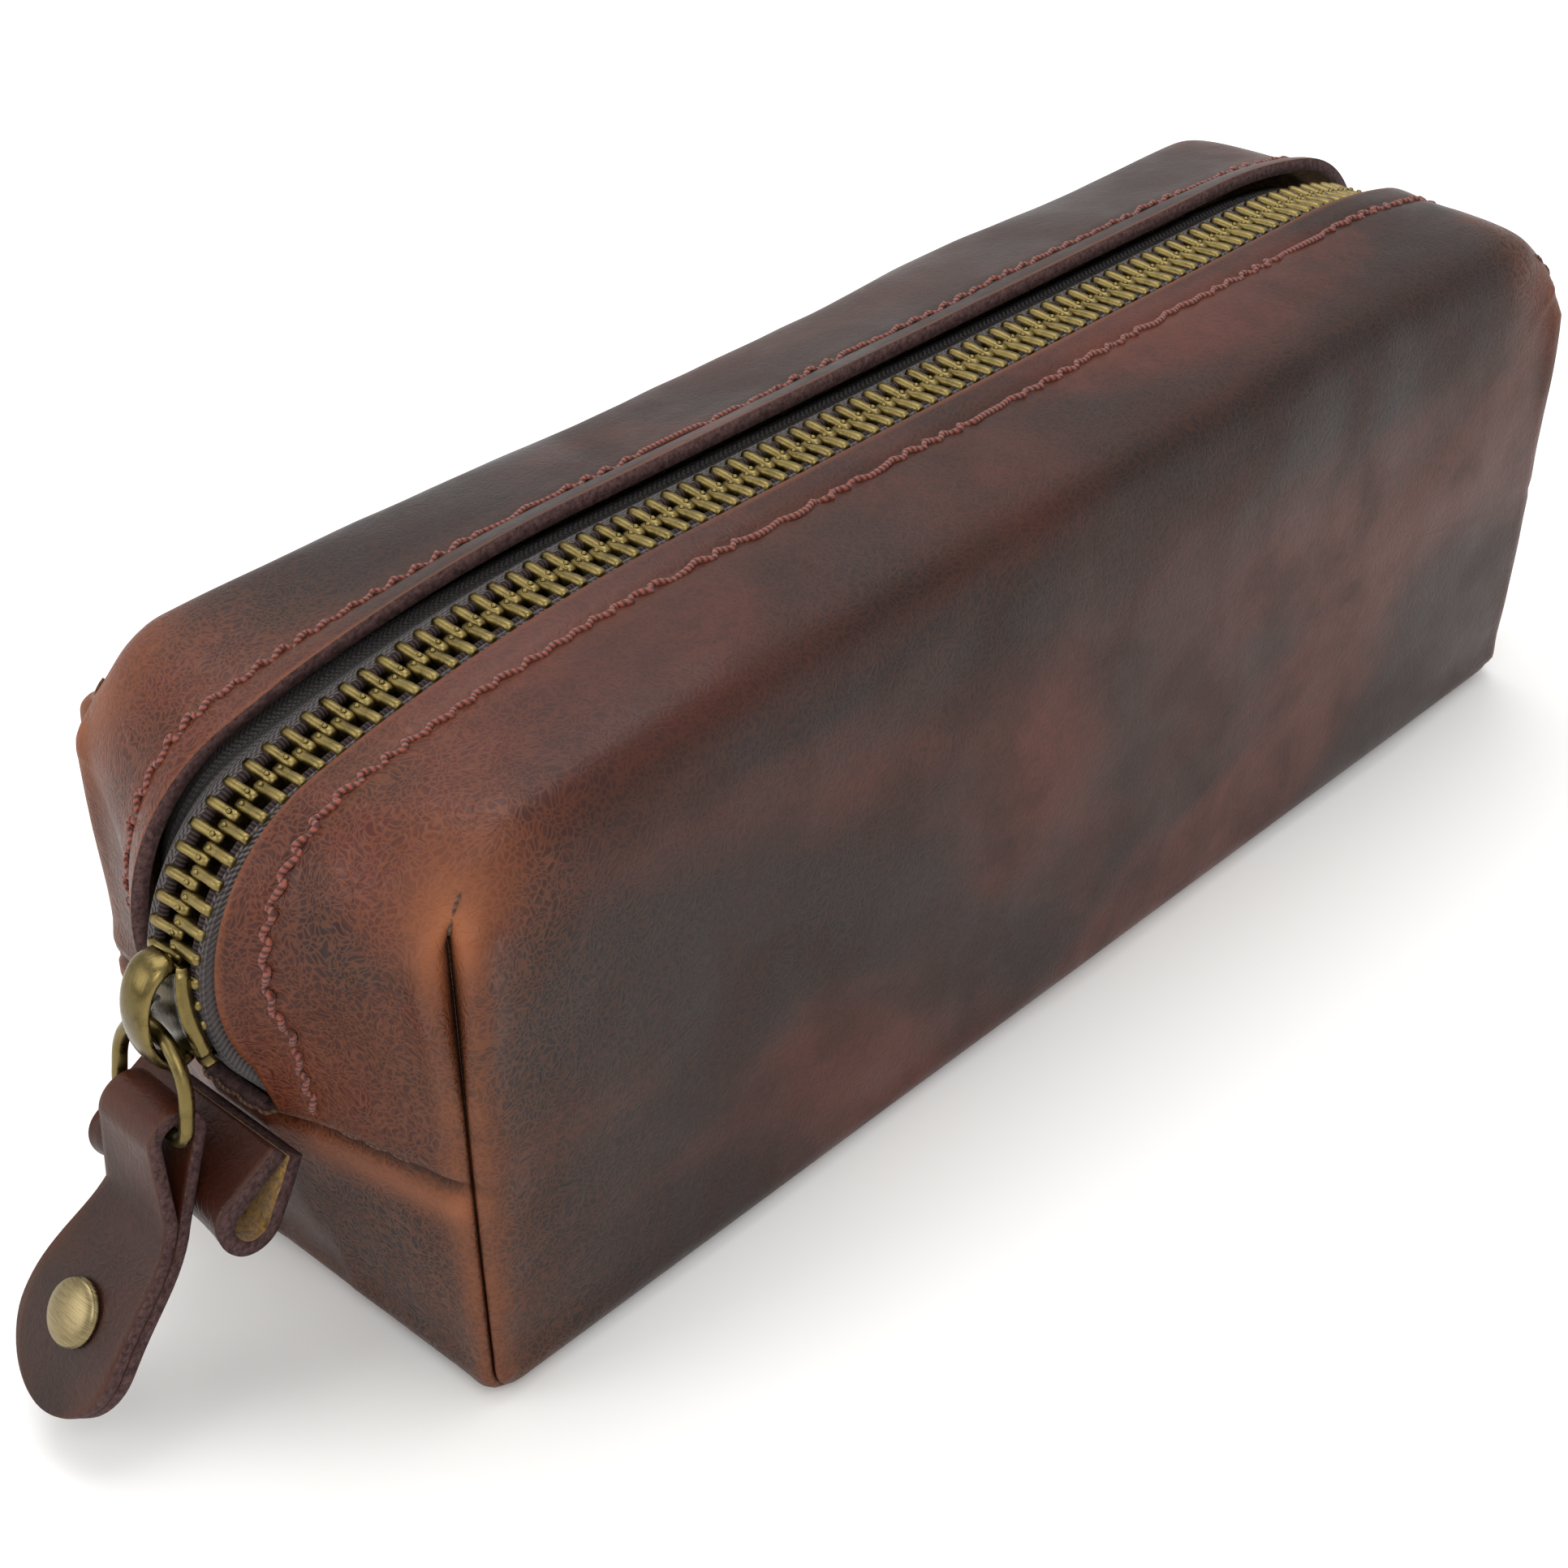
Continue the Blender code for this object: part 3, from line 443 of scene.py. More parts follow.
def suede(colours):
    """Flesh side of the hide, dyed through: a napped, matt mustard suede with loose tufts."""
    made, tree, shader = material(
        "mustard_suede", Roughness=0.95, Specular_IOR_Level=0.15, Sheen_Weight=0.35, Sheen_Roughness=0.5
    )
    place = node(tree, "TexCoord", out="Object")
    tufts = node(
        tree, "TexNoise", Vector=place, Scale=1 / (1.1 * MM), Detail=7.0, Roughness=0.8, Distortion=1.2
    )
    broad = node(tree, "TexNoise", Vector=place, Scale=1 / (5 * MM), Detail=3.0)
    dark, light = colour(colours.suede_dark), colour(colours.suede_light)
    tips = node(tree, "MapRange", tufts, 0.35, 0.65, interpolation_type="SMOOTHSTEP")
    rubbed = node(tree, "MapRange", broad, 0.52, 0.7, 0.0, 0.5, interpolation_type="SMOOTHSTEP")
    base = node(tree, "Mix", tips, n6=dark, n7=light, data_type="RGBA")
    base = node(tree, "Mix", rubbed, n6=base, n7=dark, data_type="RGBA")
    dress(tree, shader, base, tufts, 1.0, 0.6 * MM)
    return made


def herringbone_tape(colours):
    """Woven polyester zip tape: twill that turns back every few ribs, so that it reads as small V shapes.

    The ribs are 0.8 mm apart, a little coarser than the real weave so that they show.
    """
    made, tree, shader = material(
        "herringbone_zip_tape", Roughness=0.85, Specular_IOR_Level=0.3, Sheen_Weight=0.2, Sheen_Roughness=0.6
    )
    along = node(tree, "SeparateXYZ", node(tree, "UVMap", uv_map="lay"))
    across = along.node.outputs["Y"]
    turned_back = node(tree, "Math", across, 1.3, operation="PINGPONG")
    slant = node(tree, "Math", along, turned_back, operation="ADD")
    waves = []
    for distance, spacing in ((slant, 0.8), (across, 0.45)):
        angle = node(tree, "Math", distance, 2 * math.pi / spacing, operation="MULTIPLY")
        waves.append(node(tree, "Math", angle, operation="SINE"))
    threads = node(tree, "Math", waves[1], 0.35, operation="MULTIPLY")
    weave = node(tree, "Math", waves[0], threads, operation="ADD")
    place = node(tree, "TexCoord", out="Object")
    fuzz = node(tree, "TexNoise", Vector=place, Scale=1 / (0.5 * MM), Detail=4.0, Roughness=0.7)
    fuzz = node(tree, "Math", fuzz, 0.9, operation="MULTIPLY")
    height = node(tree, "Math", weave, fuzz, operation="ADD")
    ribs = node(tree, "MapRange", height, -0.7, 1.6, interpolation_type="SMOOTHSTEP")
    base = node(
        tree, "Mix", ribs, n6=colour(colours.tape_dark), n7=colour(colours.tape_light), data_type="RGBA"
    )
    dress(tree, shader, base, height, 0.9, 0.16 * MM)
    return made


def corded_edge(colours):
    """The corded edge of the tape: wound polyester, seen as dark bars between the teeth."""
    made, tree, shader = material("corded_tape_edge", Roughness=0.85, Specular_IOR_Level=0.3)
    along = node(tree, "SeparateXYZ", node(tree, "UVMap", uv_map="lay"))
    angle = node(tree, "Math", along, 2 * math.pi / 0.5, operation="MULTIPLY")
    winds = node(tree, "Math", angle, operation="SINE")
    share = node(tree, "MapRange", winds, -0.8, 0.9, interpolation_type="SMOOTHSTEP")
    base = node(
        tree, "Mix", share, n6=colour(colours.tape_dark), n7=colour(colours.tape_light), data_type="RGBA"
    )
    dress(tree, shader, base, winds, 0.8, 0.15 * MM)
    return made


def antique_brass(colours, name, shine):
    """Die-cast zinc or brass under an antique plating: dark in its hollows, olive gold on its high points."""
    made, tree, shader = material(name, Metallic=1.0)
    place = node(tree, "TexCoord", out="Object")
    stains = node(tree, "TexNoise", Vector=place, Scale=1 / (1.8 * MM), Detail=5.0, Roughness=0.65)
    drawn = node(tree, "Mapping", Vector=place, Scale=(1.0, 6.0, 1.0))
    scratches = node(tree, "TexNoise", Vector=drawn, Scale=1 / (1.0 * MM), Detail=3.0)
    bend = node(tree, "NewGeometry", out="Pointiness")
    edges = node(tree, "MapRange", bend, 0.47, 0.56, interpolation_type="SMOOTHSTEP")
    clean = node(tree, "MapRange", stains, 0.25, 0.6, 0.55, 1.0, interpolation_type="SMOOTHSTEP")
    rubbed = node(tree, "Math", edges, clean, operation="MULTIPLY")
    base = node(
        tree, "Mix", rubbed, n6=colour(colours.brass_dark), n7=colour(colours.brass_light), data_type="RGBA"
    )
    gloss = node(
        tree, "MapRange", stains, 0.3, 0.7, shine - 0.04, shine + 0.16, interpolation_type="SMOOTHSTEP"
    )
    height = node(tree, "Math", stains, scratches, operation="ADD")
    dress(tree, shader, base, height, 0.15, 0.2 * MM, gloss)
    return made


def brushed_brass(colours):
    """Rivet cap of pressed brass, brushed one way and lacquered: satin with fine parallel lines."""
    made, tree, shader = material("brushed_brass", Metallic=1.0)
    drawn = node(tree, "Mapping", Vector=node(tree, "UVMap", uv_map="lay"), Scale=(0.35, 9.0, 1.0))
    lines = node(tree, "TexNoise", Vector=drawn, Scale=1.0, Detail=4.0, Roughness=0.7)
    share = node(tree, "MapRange", lines, 0.3, 0.7, interpolation_type="SMOOTHSTEP")
    base = node(tree, "Mix", share, n6=colour(colours.rivet_dark), n7=colour(colours.rivet), data_type="RGBA")
    gloss = node(tree, "MapRange", lines, 0.3, 0.7, 0.24, 0.42, interpolation_type="SMOOTHSTEP")
    dress(tree, shader, base, lines, 0.25, 0.05 * MM, gloss)
    return made


def spring_steel(colours):
    """Tempered spring steel strip, blued and slightly brushed."""
    made, tree, shader = material("spring_steel", Roughness=0.3, Metallic=1.0)
    place = node(tree, "TexCoord", out="Object")
    lines = node(tree, "TexNoise", Vector=place, Scale=1 / (0.4 * MM), Detail=3.0)
    share = node(tree, "MapRange", lines, 0.3, 0.7, interpolation_type="SMOOTHSTEP")
    base = node(
        tree, "Mix", share, n6=colour(colours.steel_dark), n7=colour(colours.steel_light), data_type="RGBA"
    )
    dress(tree, shader, base)
    return made


def waxed_thread(colours, name, shade):
    """Twisted three-ply polyester thread, waxed: the plies wind round it at one turn in 0.75 mm."""
    made, tree, shader = material(name, Roughness=0.6, Specular_IOR_Level=0.35, Sheen_Weight=0.15)
    along = node(tree, "SeparateXYZ", node(tree, "UVMap", uv_map="lay"))
    wound = node(tree, "Math", along, 2 * math.pi / 0.75, operation="MULTIPLY")
    round_it = node(tree, "Math", along.node.outputs["Y"], 2 * math.pi, operation="MULTIPLY")
    turn = node(tree, "Math", wound, round_it, operation="ADD")
    plies = node(tree, "Math", turn, operation="SINE")
    share = node(tree, "MapRange", plies, -0.9, 0.6, interpolation_type="SMOOTHSTEP")
    base = node(tree, "Mix", share, n6=colour(colours.thread_dark), n7=colour(shade), data_type="RGBA")
    dress(tree, shader, base, plies, 0.8, 0.10 * MM)
    return made


# The bag's surface


def end_lines(nose, under, counts):
    """Seam-to-top lines of one end as (outward, up) points: over the nose, and at the corner.

    The first is a straight foot, an arc round the nose and a flat shoulder arc; the second is a
    straight upright, a rounded corner and a level line. Their points pair up one to one.
    """
    low, round_part, shoulder = (np.arange(n) / n for n in counts)
    rise = ZIP_TOP - nose[1] - NOSE_RADIUS * math.sin(NOSE_OVER)
    wide = rise / (1 - math.sin(NOSE_OVER))
    wide_centre = arc(nose, NOSE_RADIUS - wide, np.array([NOSE_OVER]))[0]
    start = arc(nose, NOSE_RADIUS, np.array([-under]))[0]
    foot = np.array([start[0] - (start[1] - SEAM_HEIGHT) * math.tan(under), SEAM_HEIGHT])
    middle = np.concatenate(
        [
            mix(foot, start, low[:, None]),
            arc(nose, NOSE_RADIUS, mix(-under, NOSE_OVER, round_part)),
            arc(wide_centre, wide, mix(NOSE_OVER, math.pi / 2, shoulder)),
        ]
    )
    centre = (HALF_LENGTH - CORNER_RADIUS, SIDE_TOP - CORNER_RADIUS)
    corner = np.concatenate(
        [
            mix(np.array([HALF_LENGTH, SEAM_HEIGHT]), np.array([HALF_LENGTH, centre[1]]), low[:, None]),
            arc(centre, CORNER_RADIUS, mix(0, math.pi / 2, round_part)),
            mix(np.array([centre[0], SIDE_TOP]), np.array([wide_centre[0], SIDE_TOP]), shoulder[:, None]),
        ]
    )
    return middle, corner, wide_centre[0]


def body_lines():
    """The closed loops of the bag's length section: over the zip's middle, and at the side walls.

    They run up the near end from its seam, along the top, down the far end, and back underneath.
    Also returned is where each part begins.
    """
    near = (-NOSE[0], NOSE[2])
    near_middle, near_corner, near_top = end_lines(near, NEAR_UNDER, (24, 34, 12))
    far_middle, far_corner, far_top = end_lines(FAR_NOSE, FAR_UNDER, (16, 22, 8))
    flip = np.array([-1, 1])
    run = np.linspace(0, 1, 126)
    top_middle = np.stack([mix(-near_top, far_top, run), np.full(126, ZIP_TOP)], -1)
    top_corner = np.stack([mix(-near_top, far_top, run), np.full(126, SIDE_TOP)], -1)
    centre = np.array([HALF_LENGTH - BOTTOM_RADIUS, BOTTOM_RADIUS])
    round_foot = arc(centre, BOTTOM_RADIUS, np.linspace(0, -math.pi / 2, 7))
    wall = np.linspace(0, 1, 23)[:-1, None]
    start = np.array([[HALF_LENGTH, BOTTOM_RADIUS]])
    parts = {"near": (near_middle * flip, near_corner * flip), "top": (top_middle, top_corner)}
    parts["far"] = (far_middle[::-1], far_corner[::-1])
    low = []
    for first in (far_middle[0], far_corner[0]):
        low.append(np.concatenate([mix(first, start, wall)[1:], round_foot]))
    parts["far_low"] = tuple(low)
    across = np.linspace(-1, 1, BASE_SPANS + 1)[1:-1]
    base = np.stack([-across * centre[0], np.zeros(BASE_SPANS - 1)], -1)
    parts["base"] = (base, base)
    low = []
    for first in (near_middle[0], near_corner[0]):
        low.append((np.concatenate([mix(first, start, wall)[1:], round_foot]) * flip)[::-1])
    parts["near_low"] = tuple(low)
    starts, total = {}, 0
    for key, (middle, _) in parts.items():
        starts[key] = total
        total += len(middle)
    middle = np.concatenate([m for m, _ in parts.values()])
    corner = np.concatenate([c for _, c in parts.values()])
    return middle, corner, starts, total


def outward(loop):
    """Unit normals of a closed loop that runs clockwise, pointing out of it."""
    ahead = unit(np.roll(loop, -1, 0) - np.roll(loop, 1, 0))
    return np.stack([-ahead[:, 1], ahead[:, 0]], -1)


MIDDLE, CORNER, STARTS, STATIONS = body_lines()
MIDDLE_OUT, CORNER_OUT = outward(MIDDLE), outward(CORNER)
UPPER = STARTS["far_low"]  # stations before this one lie above the level seams


def surface(y, inset, stations=slice(None)):
    """The bag's skin at distances y from the middle, moved inwards by inset: rows of points.

    A row is a mix of the middle and corner loops, with the share (beyond the zip / reach)^0.7.
    """
    y = np.atleast_1d(y)[:, None]
    inset = np.broadcast_to(inset, y.shape[:1])[:, None, None]
    share = (np.maximum(0, np.abs(y) - BAND) / (HALF_WIDTH - BAND)) ** BLEND_POWER
    middle = (MIDDLE - MIDDLE_OUT * inset)[:, stations]
    corner = (CORNER - CORNER_OUT * inset)[:, stations]
    xz = mix(middle, corner, np.minimum(share, 1)[:, :, None])
    return np.stack([xz[..., 0], np.broadcast_to(y, xz.shape[:2]), xz[..., 1]], -1)


def leather_rows():
    """y and inset of one side's rows, from the zip's edge to the side wall, and the seam's row number."""
    near_edge = ZIP_EDGE + ROW_PLACES
    flat = near_edge[near_edge < HALF_WIDTH - EDGE_ROUND - 0.4 * MM]
    turn = np.radians(TURN_DEGREES)
    y = np.concatenate([flat, HALF_WIDTH - EDGE_ROUND + EDGE_ROUND * np.sin(turn)])
    inset = np.concatenate([np.zeros(len(flat)), EDGE_ROUND - EDGE_ROUND * np.cos(turn)])
    return y, inset, len(flat) + 9


def skin_grid():
    """Every point of the leather's face before it is shaped: rows from the right wall's middle to the left's.

    Each side wall goes on from its rim towards a level line inside it, rim + (line - rim) * t.
    """
    y, inset, seam_row = leather_rows()
    half = surface(y, inset)
    rim = half[-1]
    span = 2 * (HALF_LENGTH - BOTTOM_RADIUS) / BASE_SPANS
    reach = span * 15
    snapped = np.round(np.clip(rim[:, 0], -reach, reach) / span) * span
    line = np.stack([snapped, rim[:, 1], np.full(STATIONS, SIDE_TOP / 2)], -1)
    t = (np.arange(1, 25) / 24)[:, None, None]
    wall = mix(rim[None], line[None], t)
    half = np.concatenate([half, wall])
    gap = surface(np.linspace(-ZIP_EDGE, ZIP_EDGE, 12)[1:-1], 0.0)
    mirror = half[::-1] * np.array([1, -1, 1])
    grid = np.concatenate([mirror, gap, half])
    count = len(half)
    return grid, count, seam_row


def grid_normals(grid):
    """Unit normals from the cross product of the steps along the rows and the columns."""
    along = np.roll(grid, -1, 1) - np.roll(grid, 1, 1)
    across = np.gradient(grid, axis=0)
    return unit(np.cross(across, along))


def rounded_edges(grid, count, seam_row):
    """Rounds the long folded edges, where the hide turns without a seam.

    Each pass moves a point towards the mean of its neighbours across the edge, by a weight that
    is 1 on the fold and falls to 0 at 14 mm from it and on the sewn corners.
    """
    rows = len(grid)
    profile = lengths_along(grid[count + 10 :, STARTS["top"] + 60])
    away = np.abs(profile - profile[seam_row])
    weight = np.zeros(rows)
    weight[count + 10 :] = 1 - ease(away, 7 * MM, 14 * MM)
    weight[:count] = weight[count + 10 :][::-1]
    at_end = np.abs(CORNER[:, 0]) > HALF_LENGTH - CORNER_STRIP
    fold = np.where(
        at_end, ease(CORNER[:, 1], 65 * MM, 73 * MM), np.where(CORNER[:, 1] > SIDE_TOP / 2, 1.0, 0.0)
    )
    strength = weight[:, None, None] * fold[None, :, None] * 0.5
    for _ in range(70):
        grid[1:-1] += strength[1:-1] * (grid[2:] + grid[:-2] - 2 * grid[1:-1]) * 0.9
    return grid


def shape_skin(sizes):
    """Adds to the plain skin what sewing and use did to it, and records where it is worn, where a painted
    shadow lies deep in the seams and where a painted grey sheen lies.

    The sum is: a crown on each side wall, (1 - (x/a)^2)(1 - (z/b)^2); a pinch and two soft
    shoulders along each corner seam and each level seam; a raised left lip beside the zip and a
    lower right one; a shallow groove under each stitch line; and broad noise of a few tenths.
    """
    grid, count, seam_row = skin_grid()
    rows = len(grid)
    grid = rounded_edges(grid, count, seam_row)
    normal = grid_normals(grid)
    out = np.sign((normal * (grid - np.array([0, 0, SIDE_TOP / 2]))).sum(-1).mean())
    normal = normal * out
    walls = np.r_[0:26, rows - 26 : rows]
    normal[walls] = np.array([0, 1, 0]) * np.sign(grid[walls][..., 1:2])
    x, y, z = grid[..., 0], grid[..., 1], grid[..., 2]
    side = np.sign(y)
    profile = lengths_along(grid[count + 10 :, STARTS["top"] + 60])
    from_edge = np.full(rows, FAR_OFF)
    from_edge[count + 10 :] = profile
    from_edge[:count] = profile[::-1]
    from_seam = from_edge[:, None] - profile[seam_row]
    from_edge = from_edge[:, None]
    station = np.arange(STATIONS)[None, :]
    corner_z = CORNER[None, :, 1]
    at_end = np.abs(CORNER[None, :, 0]) > HALF_LENGTH - CORNER_STRIP
    near = CORNER[None, :, 0] < 0
    slit_top = np.where(near, NEAR_SLIT_TOP, FAR_SLIT_TOP)
    in_slit = np.where(at_end, ease(corner_z, slit_top + 1.0 * MM, slit_top - 3.0 * MM), 0.0)
    in_slit = in_slit * ease(corner_z, 0.4 * MM, 2.5 * MM)
    upper = ease(corner_z, SEAM_HEIGHT + 6 * MM, slit_top - 8 * MM) * in_slit
    cut = bump(from_seam, mix(0.55 * MM, 1.75 * MM, upper)) * in_slit
    lips = bump(np.abs(from_seam) - mix(2.4 * MM, 3.6 * MM, upper), 1.9 * MM) * in_slit
    move = -sizes.seam_depth * mix(0.75, 1.35, upper) * cut + mix(0.60 * MM, 1.15 * MM, upper) * lips
    above_slit = np.where(at_end, bump(corner_z - slit_top - 1.5 * MM, 4.0 * MM), 0)
    move = move - 0.5 * MM * above_slit * bump(from_seam, 3.5 * MM)
    # Level seam across each end
    walk = lengths_along(CORNER)
    loop_length = walk[-1] + np.linalg.norm(CORNER[0] - CORNER[-1])
    from_near = np.minimum(walk, loop_length - walk) * np.where(walk > loop_length / 2, -1, 1)
    from_far = walk[UPPER - 1] - walk
    level = np.where(near[0], from_near, from_far)[None, :]
    on_end = ease(np.abs(y), HALF_WIDTH + 0.4 * MM, HALF_WIDTH - 3.2 * MM) * (np.abs(level) < SEAM_REACH)
    wobble = noise(grid * np.array([0, 1, 0]) + 3.0, 7 * MM, 5) * 0.35 * MM
    move = move - 1.15 * MM * bump(level + wobble, 0.55 * MM) * on_end
    move = move + 0.45 * MM * bump(level - 2.4 * MM, 1.6 * MM) * on_end
    move = move + 0.50 * MM * bump(level + 2.2 * MM, 2.0 * MM) * on_end
    # Side walls
    crown = np.clip(1 - (x / (HALF_LENGTH - 2 * MM)) ** 2, 0, 1)
    crown = crown * np.clip(1 - ((z - SIDE_TOP / 2) / (SIDE_TOP / 2)) ** 2, 0, 1)
    on_wall = ease(from_seam, 0.5 * MM, 9 * MM)
    belly = ease(from_seam, -1 * MM, 5 * MM) * ease(np.abs(x), 50 * MM, 96 * MM)
    belly = belly * np.clip(1 - ((z - 42 * MM) / (34 * MM)) ** 2, 0, 1) * (z > 3 * MM) * (z < 72 * MM)
    move = move + sizes.side_bulge * crown * on_wall + 1.5 * MM * belly
    # Lips beside the zip
    left = side > 0
    above = station < UPPER
    fade = ease(station, 2, 16) * ease(station, UPPER - 2, UPPER - 14)
    lift = np.where(left, sizes.left_lip, sizes.right_lip) * above * fade
    move = move + lift * bump(from_edge, 4.2 * MM)
    move = move - 0.38 * MM * bump(from_edge - STITCH_ROW, 0.8 * MM) * above
    # Slack of the hide
    broad = noise(grid, 34 * MM, 11) * 0.55 + noise(grid, 15 * MM, 12) * 0.25 + noise(grid, 6 * MM, 13) * 0.08
    under = ease(z, 1.0 * MM, 7 * MM)
    move = move + broad * MM * under * ease(from_edge, 0, 6 * MM)
    # Where the tab and the pull swing, the hide lies no further out than the leather's own surface
    under_tab = bump(z - 26 * MM, 11 * MM) * bump(y, 15 * MM)
    under_pull = bump(z - 44 * MM, 20 * MM) * bump(y, 19 * MM)
    swept = ease(-x, 92 * MM, 97 * MM) * np.clip(1.6 * under_tab + 1.2 * under_pull, 0, 1)
    move = move - np.maximum(move, 0) * swept
    wander = noise(grid, 22 * MM, 17) * 7 * MM
    folds = np.sin((x * 0.8 + z * 0.9 + wander) / (2.6 * MM)) * bump(noise(grid, 30 * MM, 19) - 0.45, 0.22)
    worked = ease(from_seam, 3 * MM, 10 * MM) * bump(x + 42 * MM, 30 * MM) * bump(z - 36 * MM, 22 * MM)
    move = move + 0.16 * MM * folds * worked
    shaped = grid + normal * move[..., None]
    shaped[..., 2] = np.maximum(shaped[..., 2], 0.0)
    # Wear, painted shadow in the seams, and painted grey sheen
    ring = np.where(at_end, bump(corner_z - slit_top, 5 * MM) * bump(from_seam, 4.2 * MM), 0)
    at_corner = np.abs(CORNER[None, :, 0]) > HALF_LENGTH - CORNER_RADIUS
    corner_rub = bump(from_seam, 6 * MM) * at_corner
    shoulders = bump(np.abs(from_seam) - 2.4 * MM, 1.8 * MM) * in_slit
    band = bump(level + 3.4 * MM, 2.6 * MM) * on_end
    edge_line = bump(from_edge, 0.45 * MM) * above
    top_corner = ease(np.abs(x), 84 * MM, 101 * MM) * ease(np.abs(y), 16 * MM, 28 * MM)
    top_corner = top_corner * bump(z - 70 * MM, 11 * MM)
    near_side = ease(-x, 70 * MM, 108 * MM)
    soft = noise(grid, 12 * MM, 23)
    wear = 0.80 * ring + 0.30 * shoulders + 0.55 * band * near_side + 0.45 * edge_line
    wear = wear + 0.55 * top_corner * np.where(left, near_side, 0.2)
    wear = wear + 0.16 * corner_rub * near_side + 0.08 * near_side * np.clip(soft + 0.2, 0, 1)
    wear = wear + 0.10 * bump(from_edge - STITCH_ROW, 2.6 * MM) * above * np.clip(0.5 + soft, 0, 1)
    # Painted shadow: a near-black colour deep in the corner and level seams, where shade falls
    painted_seam_shadow = 1.2 * bump(from_seam, mix(0.50 * MM, 1.25 * MM, upper)) * in_slit
    painted_seam_shadow = painted_seam_shadow + 0.8 * bump(level + wobble, 0.40 * MM) * on_end
    # Painted grey sheen, a stand-in for a soft highlight: over the top of the far left lip and the lower far
    # part of the right wall
    far_top = ease(y, 8 * MM, 16 * MM) * ease(x, -60 * MM, 20 * MM) * ease(z, 66 * MM, 71 * MM)
    far_low = ease(-y, 20 * MM, 29 * MM) * ease(x - z, -10 * MM, 70 * MM)
    painted_sheen = far_top + 0.75 * far_low
    creased = (bump(from_edge - 9 * MM, 9 * MM) + 0.5) * near_side + top_corner + 0.6 * corner_rub
    layers = {"wear": wear, "painted_seam_shadow": painted_seam_shadow, "painted_sheen": painted_sheen, "crease": creased}
    layers = {key: np.broadcast_to(np.clip(value, 0, 1), grid.shape[:2]) for key, value in layers.items()}
    layers["crease"] = 0.25 + 0.75 * layers["crease"]
    return shaped, layers, count


# Settings


SIZES = {
    "seam_depth": (1.9, "How deep the corner seams are pinched"),
    "side_bulge": (1.2, "How far the side walls swell"),
    "left_lip": (1.3, "How far the left zip edge stands up"),
    "right_lip": (0.5, "How far the right zip edge stands up"),
    "stitch": (3.2, "From one needle hole to the next"),
    "thread": (0.42, "Half the thickness of the twisted thread"),
}
COLOURS = {
    "leather_dark": ("#170b08", "Oiled dark patches"),
    "leather_red": ("#4a1c11", "Reddish patches"),
    "leather_mid": ("#25100a", "Even brown"),
    "leather_worn": ("#814a2c", "Rubbed tan"),
    # Painted grey sheen: a pale grey that stands in for a soft highlight on the hide
    "leather_bloom": ("#4a3a36", "Greyish wax bloom"),
    "leather_slit": ("#0b0504", "Shadow deep in a seam"),
    "edge_dark": ("#2b1a19", "Raw edge fibres, dark"),
    "edge_light": ("#5c4240", "Raw edge fibres, light"),
    "suede_dark": ("#5a3a0c", "Hollows of the nap"),
    "suede_light": ("#b58418", "Tips of the nap"),
    "tape_dark": ("#130d0c", "Between the tape's ribs"),
    "tape_light": ("#3f2e2c", "On the tape's ribs"),
    "brass_dark": ("#261f12", "Patina in the hollows"),
    "brass_light": ("#837347", "Rubbed high points"),
    "rivet_dark": ("#6b5f45", "Brushed lines of the rivet"),
    "rivet": ("#988964", "Brushed face of the rivet"),
    "steel_dark": ("#6f6c68", "Lock spring, blued"),
    "steel_light": ("#a7a39c", "Lock spring, bright"),
    "thread_dark": ("#3f1a15", "Between the thread's plies"),
    "thread_light": ("#82402f", "On the thread's plies"),
}


class BagSizes(bpy.types.PropertyGroup):
    """Sizes of the sewn leather and its stitching."""

    __annotations__ = {
        key: bpy.props.FloatProperty(
            name=key.replace("_", " ").capitalize(), description=words, default=size * MM
        )
        for key, (size, words) in SIZES.items()
    }


class BagColours(bpy.types.PropertyGroup):
    """sRGB colours of the bag's materials."""

    __annotations__ = {
        key: bpy.props.StringProperty(
            name=key.replace("_", " ").capitalize(), description=words, default=shade
        )
        for key, (shade, words) in COLOURS.items()
    }


# Operators


class BAG_OT_leather(bpy.types.Operator):
    """The sewn leather shell with its pinched seams, raised zip edges and cut rims."""

    bl_idname = "bag.leather"
    bl_label = "Leather shell"

    def execute(self, context):
        sizes, colours = context.scene.bag_sizes, context.scene.bag_colours
        points, layers, count = shape_skin(sizes)
        rows = len(points)
        faces = grid_faces(rows, STATIONS, wrap_columns=True)
        row, column = faces[:, 0] // STATIONS, faces[:, 0] % STATIONS
        in_gap = (row >= count - 1) & (row < rows - count) & (column < UPPER - 1)
        faces = faces[~in_gap]
        looks = [pull_up_leather(colours), cut_leather(colours), suede(colours)]
        obj = piece(
            "leather_shell",
            points,
            faces,
            looks,
            "bag",
            "pull_up_leather",
            ["leather_body"],
            layers=layers,
            merge=SKIN_MERGE,
        )
        wall = obj.modifiers.new("wall", "SOLIDIFY")
        wall.thickness = LEATHER
        wall.offset = -1.0
        wall.material_offset = 2
        wall.material_offset_rim = 1
        return {"FINISHED"}


def zip_line():
    """The zip's middle line, its outward normals and its lengths, at 0.1 mm steps: the loop moved in."""
    loop = MIDDLE[:UPPER] - MIDDLE_OUT[:UPPER] * ZIP_DEPTH
    count = int(lengths_along(loop)[-1] / (0.1 * MM))
    line = evenly(loop, count)
    ahead = unit(np.gradient(line, axis=0))
    smooth = [np.convolve(np.pad(ahead[:, k], 15, mode="edge"), np.ones(31) / 31, "valid") for k in range(2)]
    ahead = unit(np.stack(smooth, -1))
    return line, ahead, np.stack([-ahead[:, 1], ahead[:, 0]], -1), lengths_along(line)


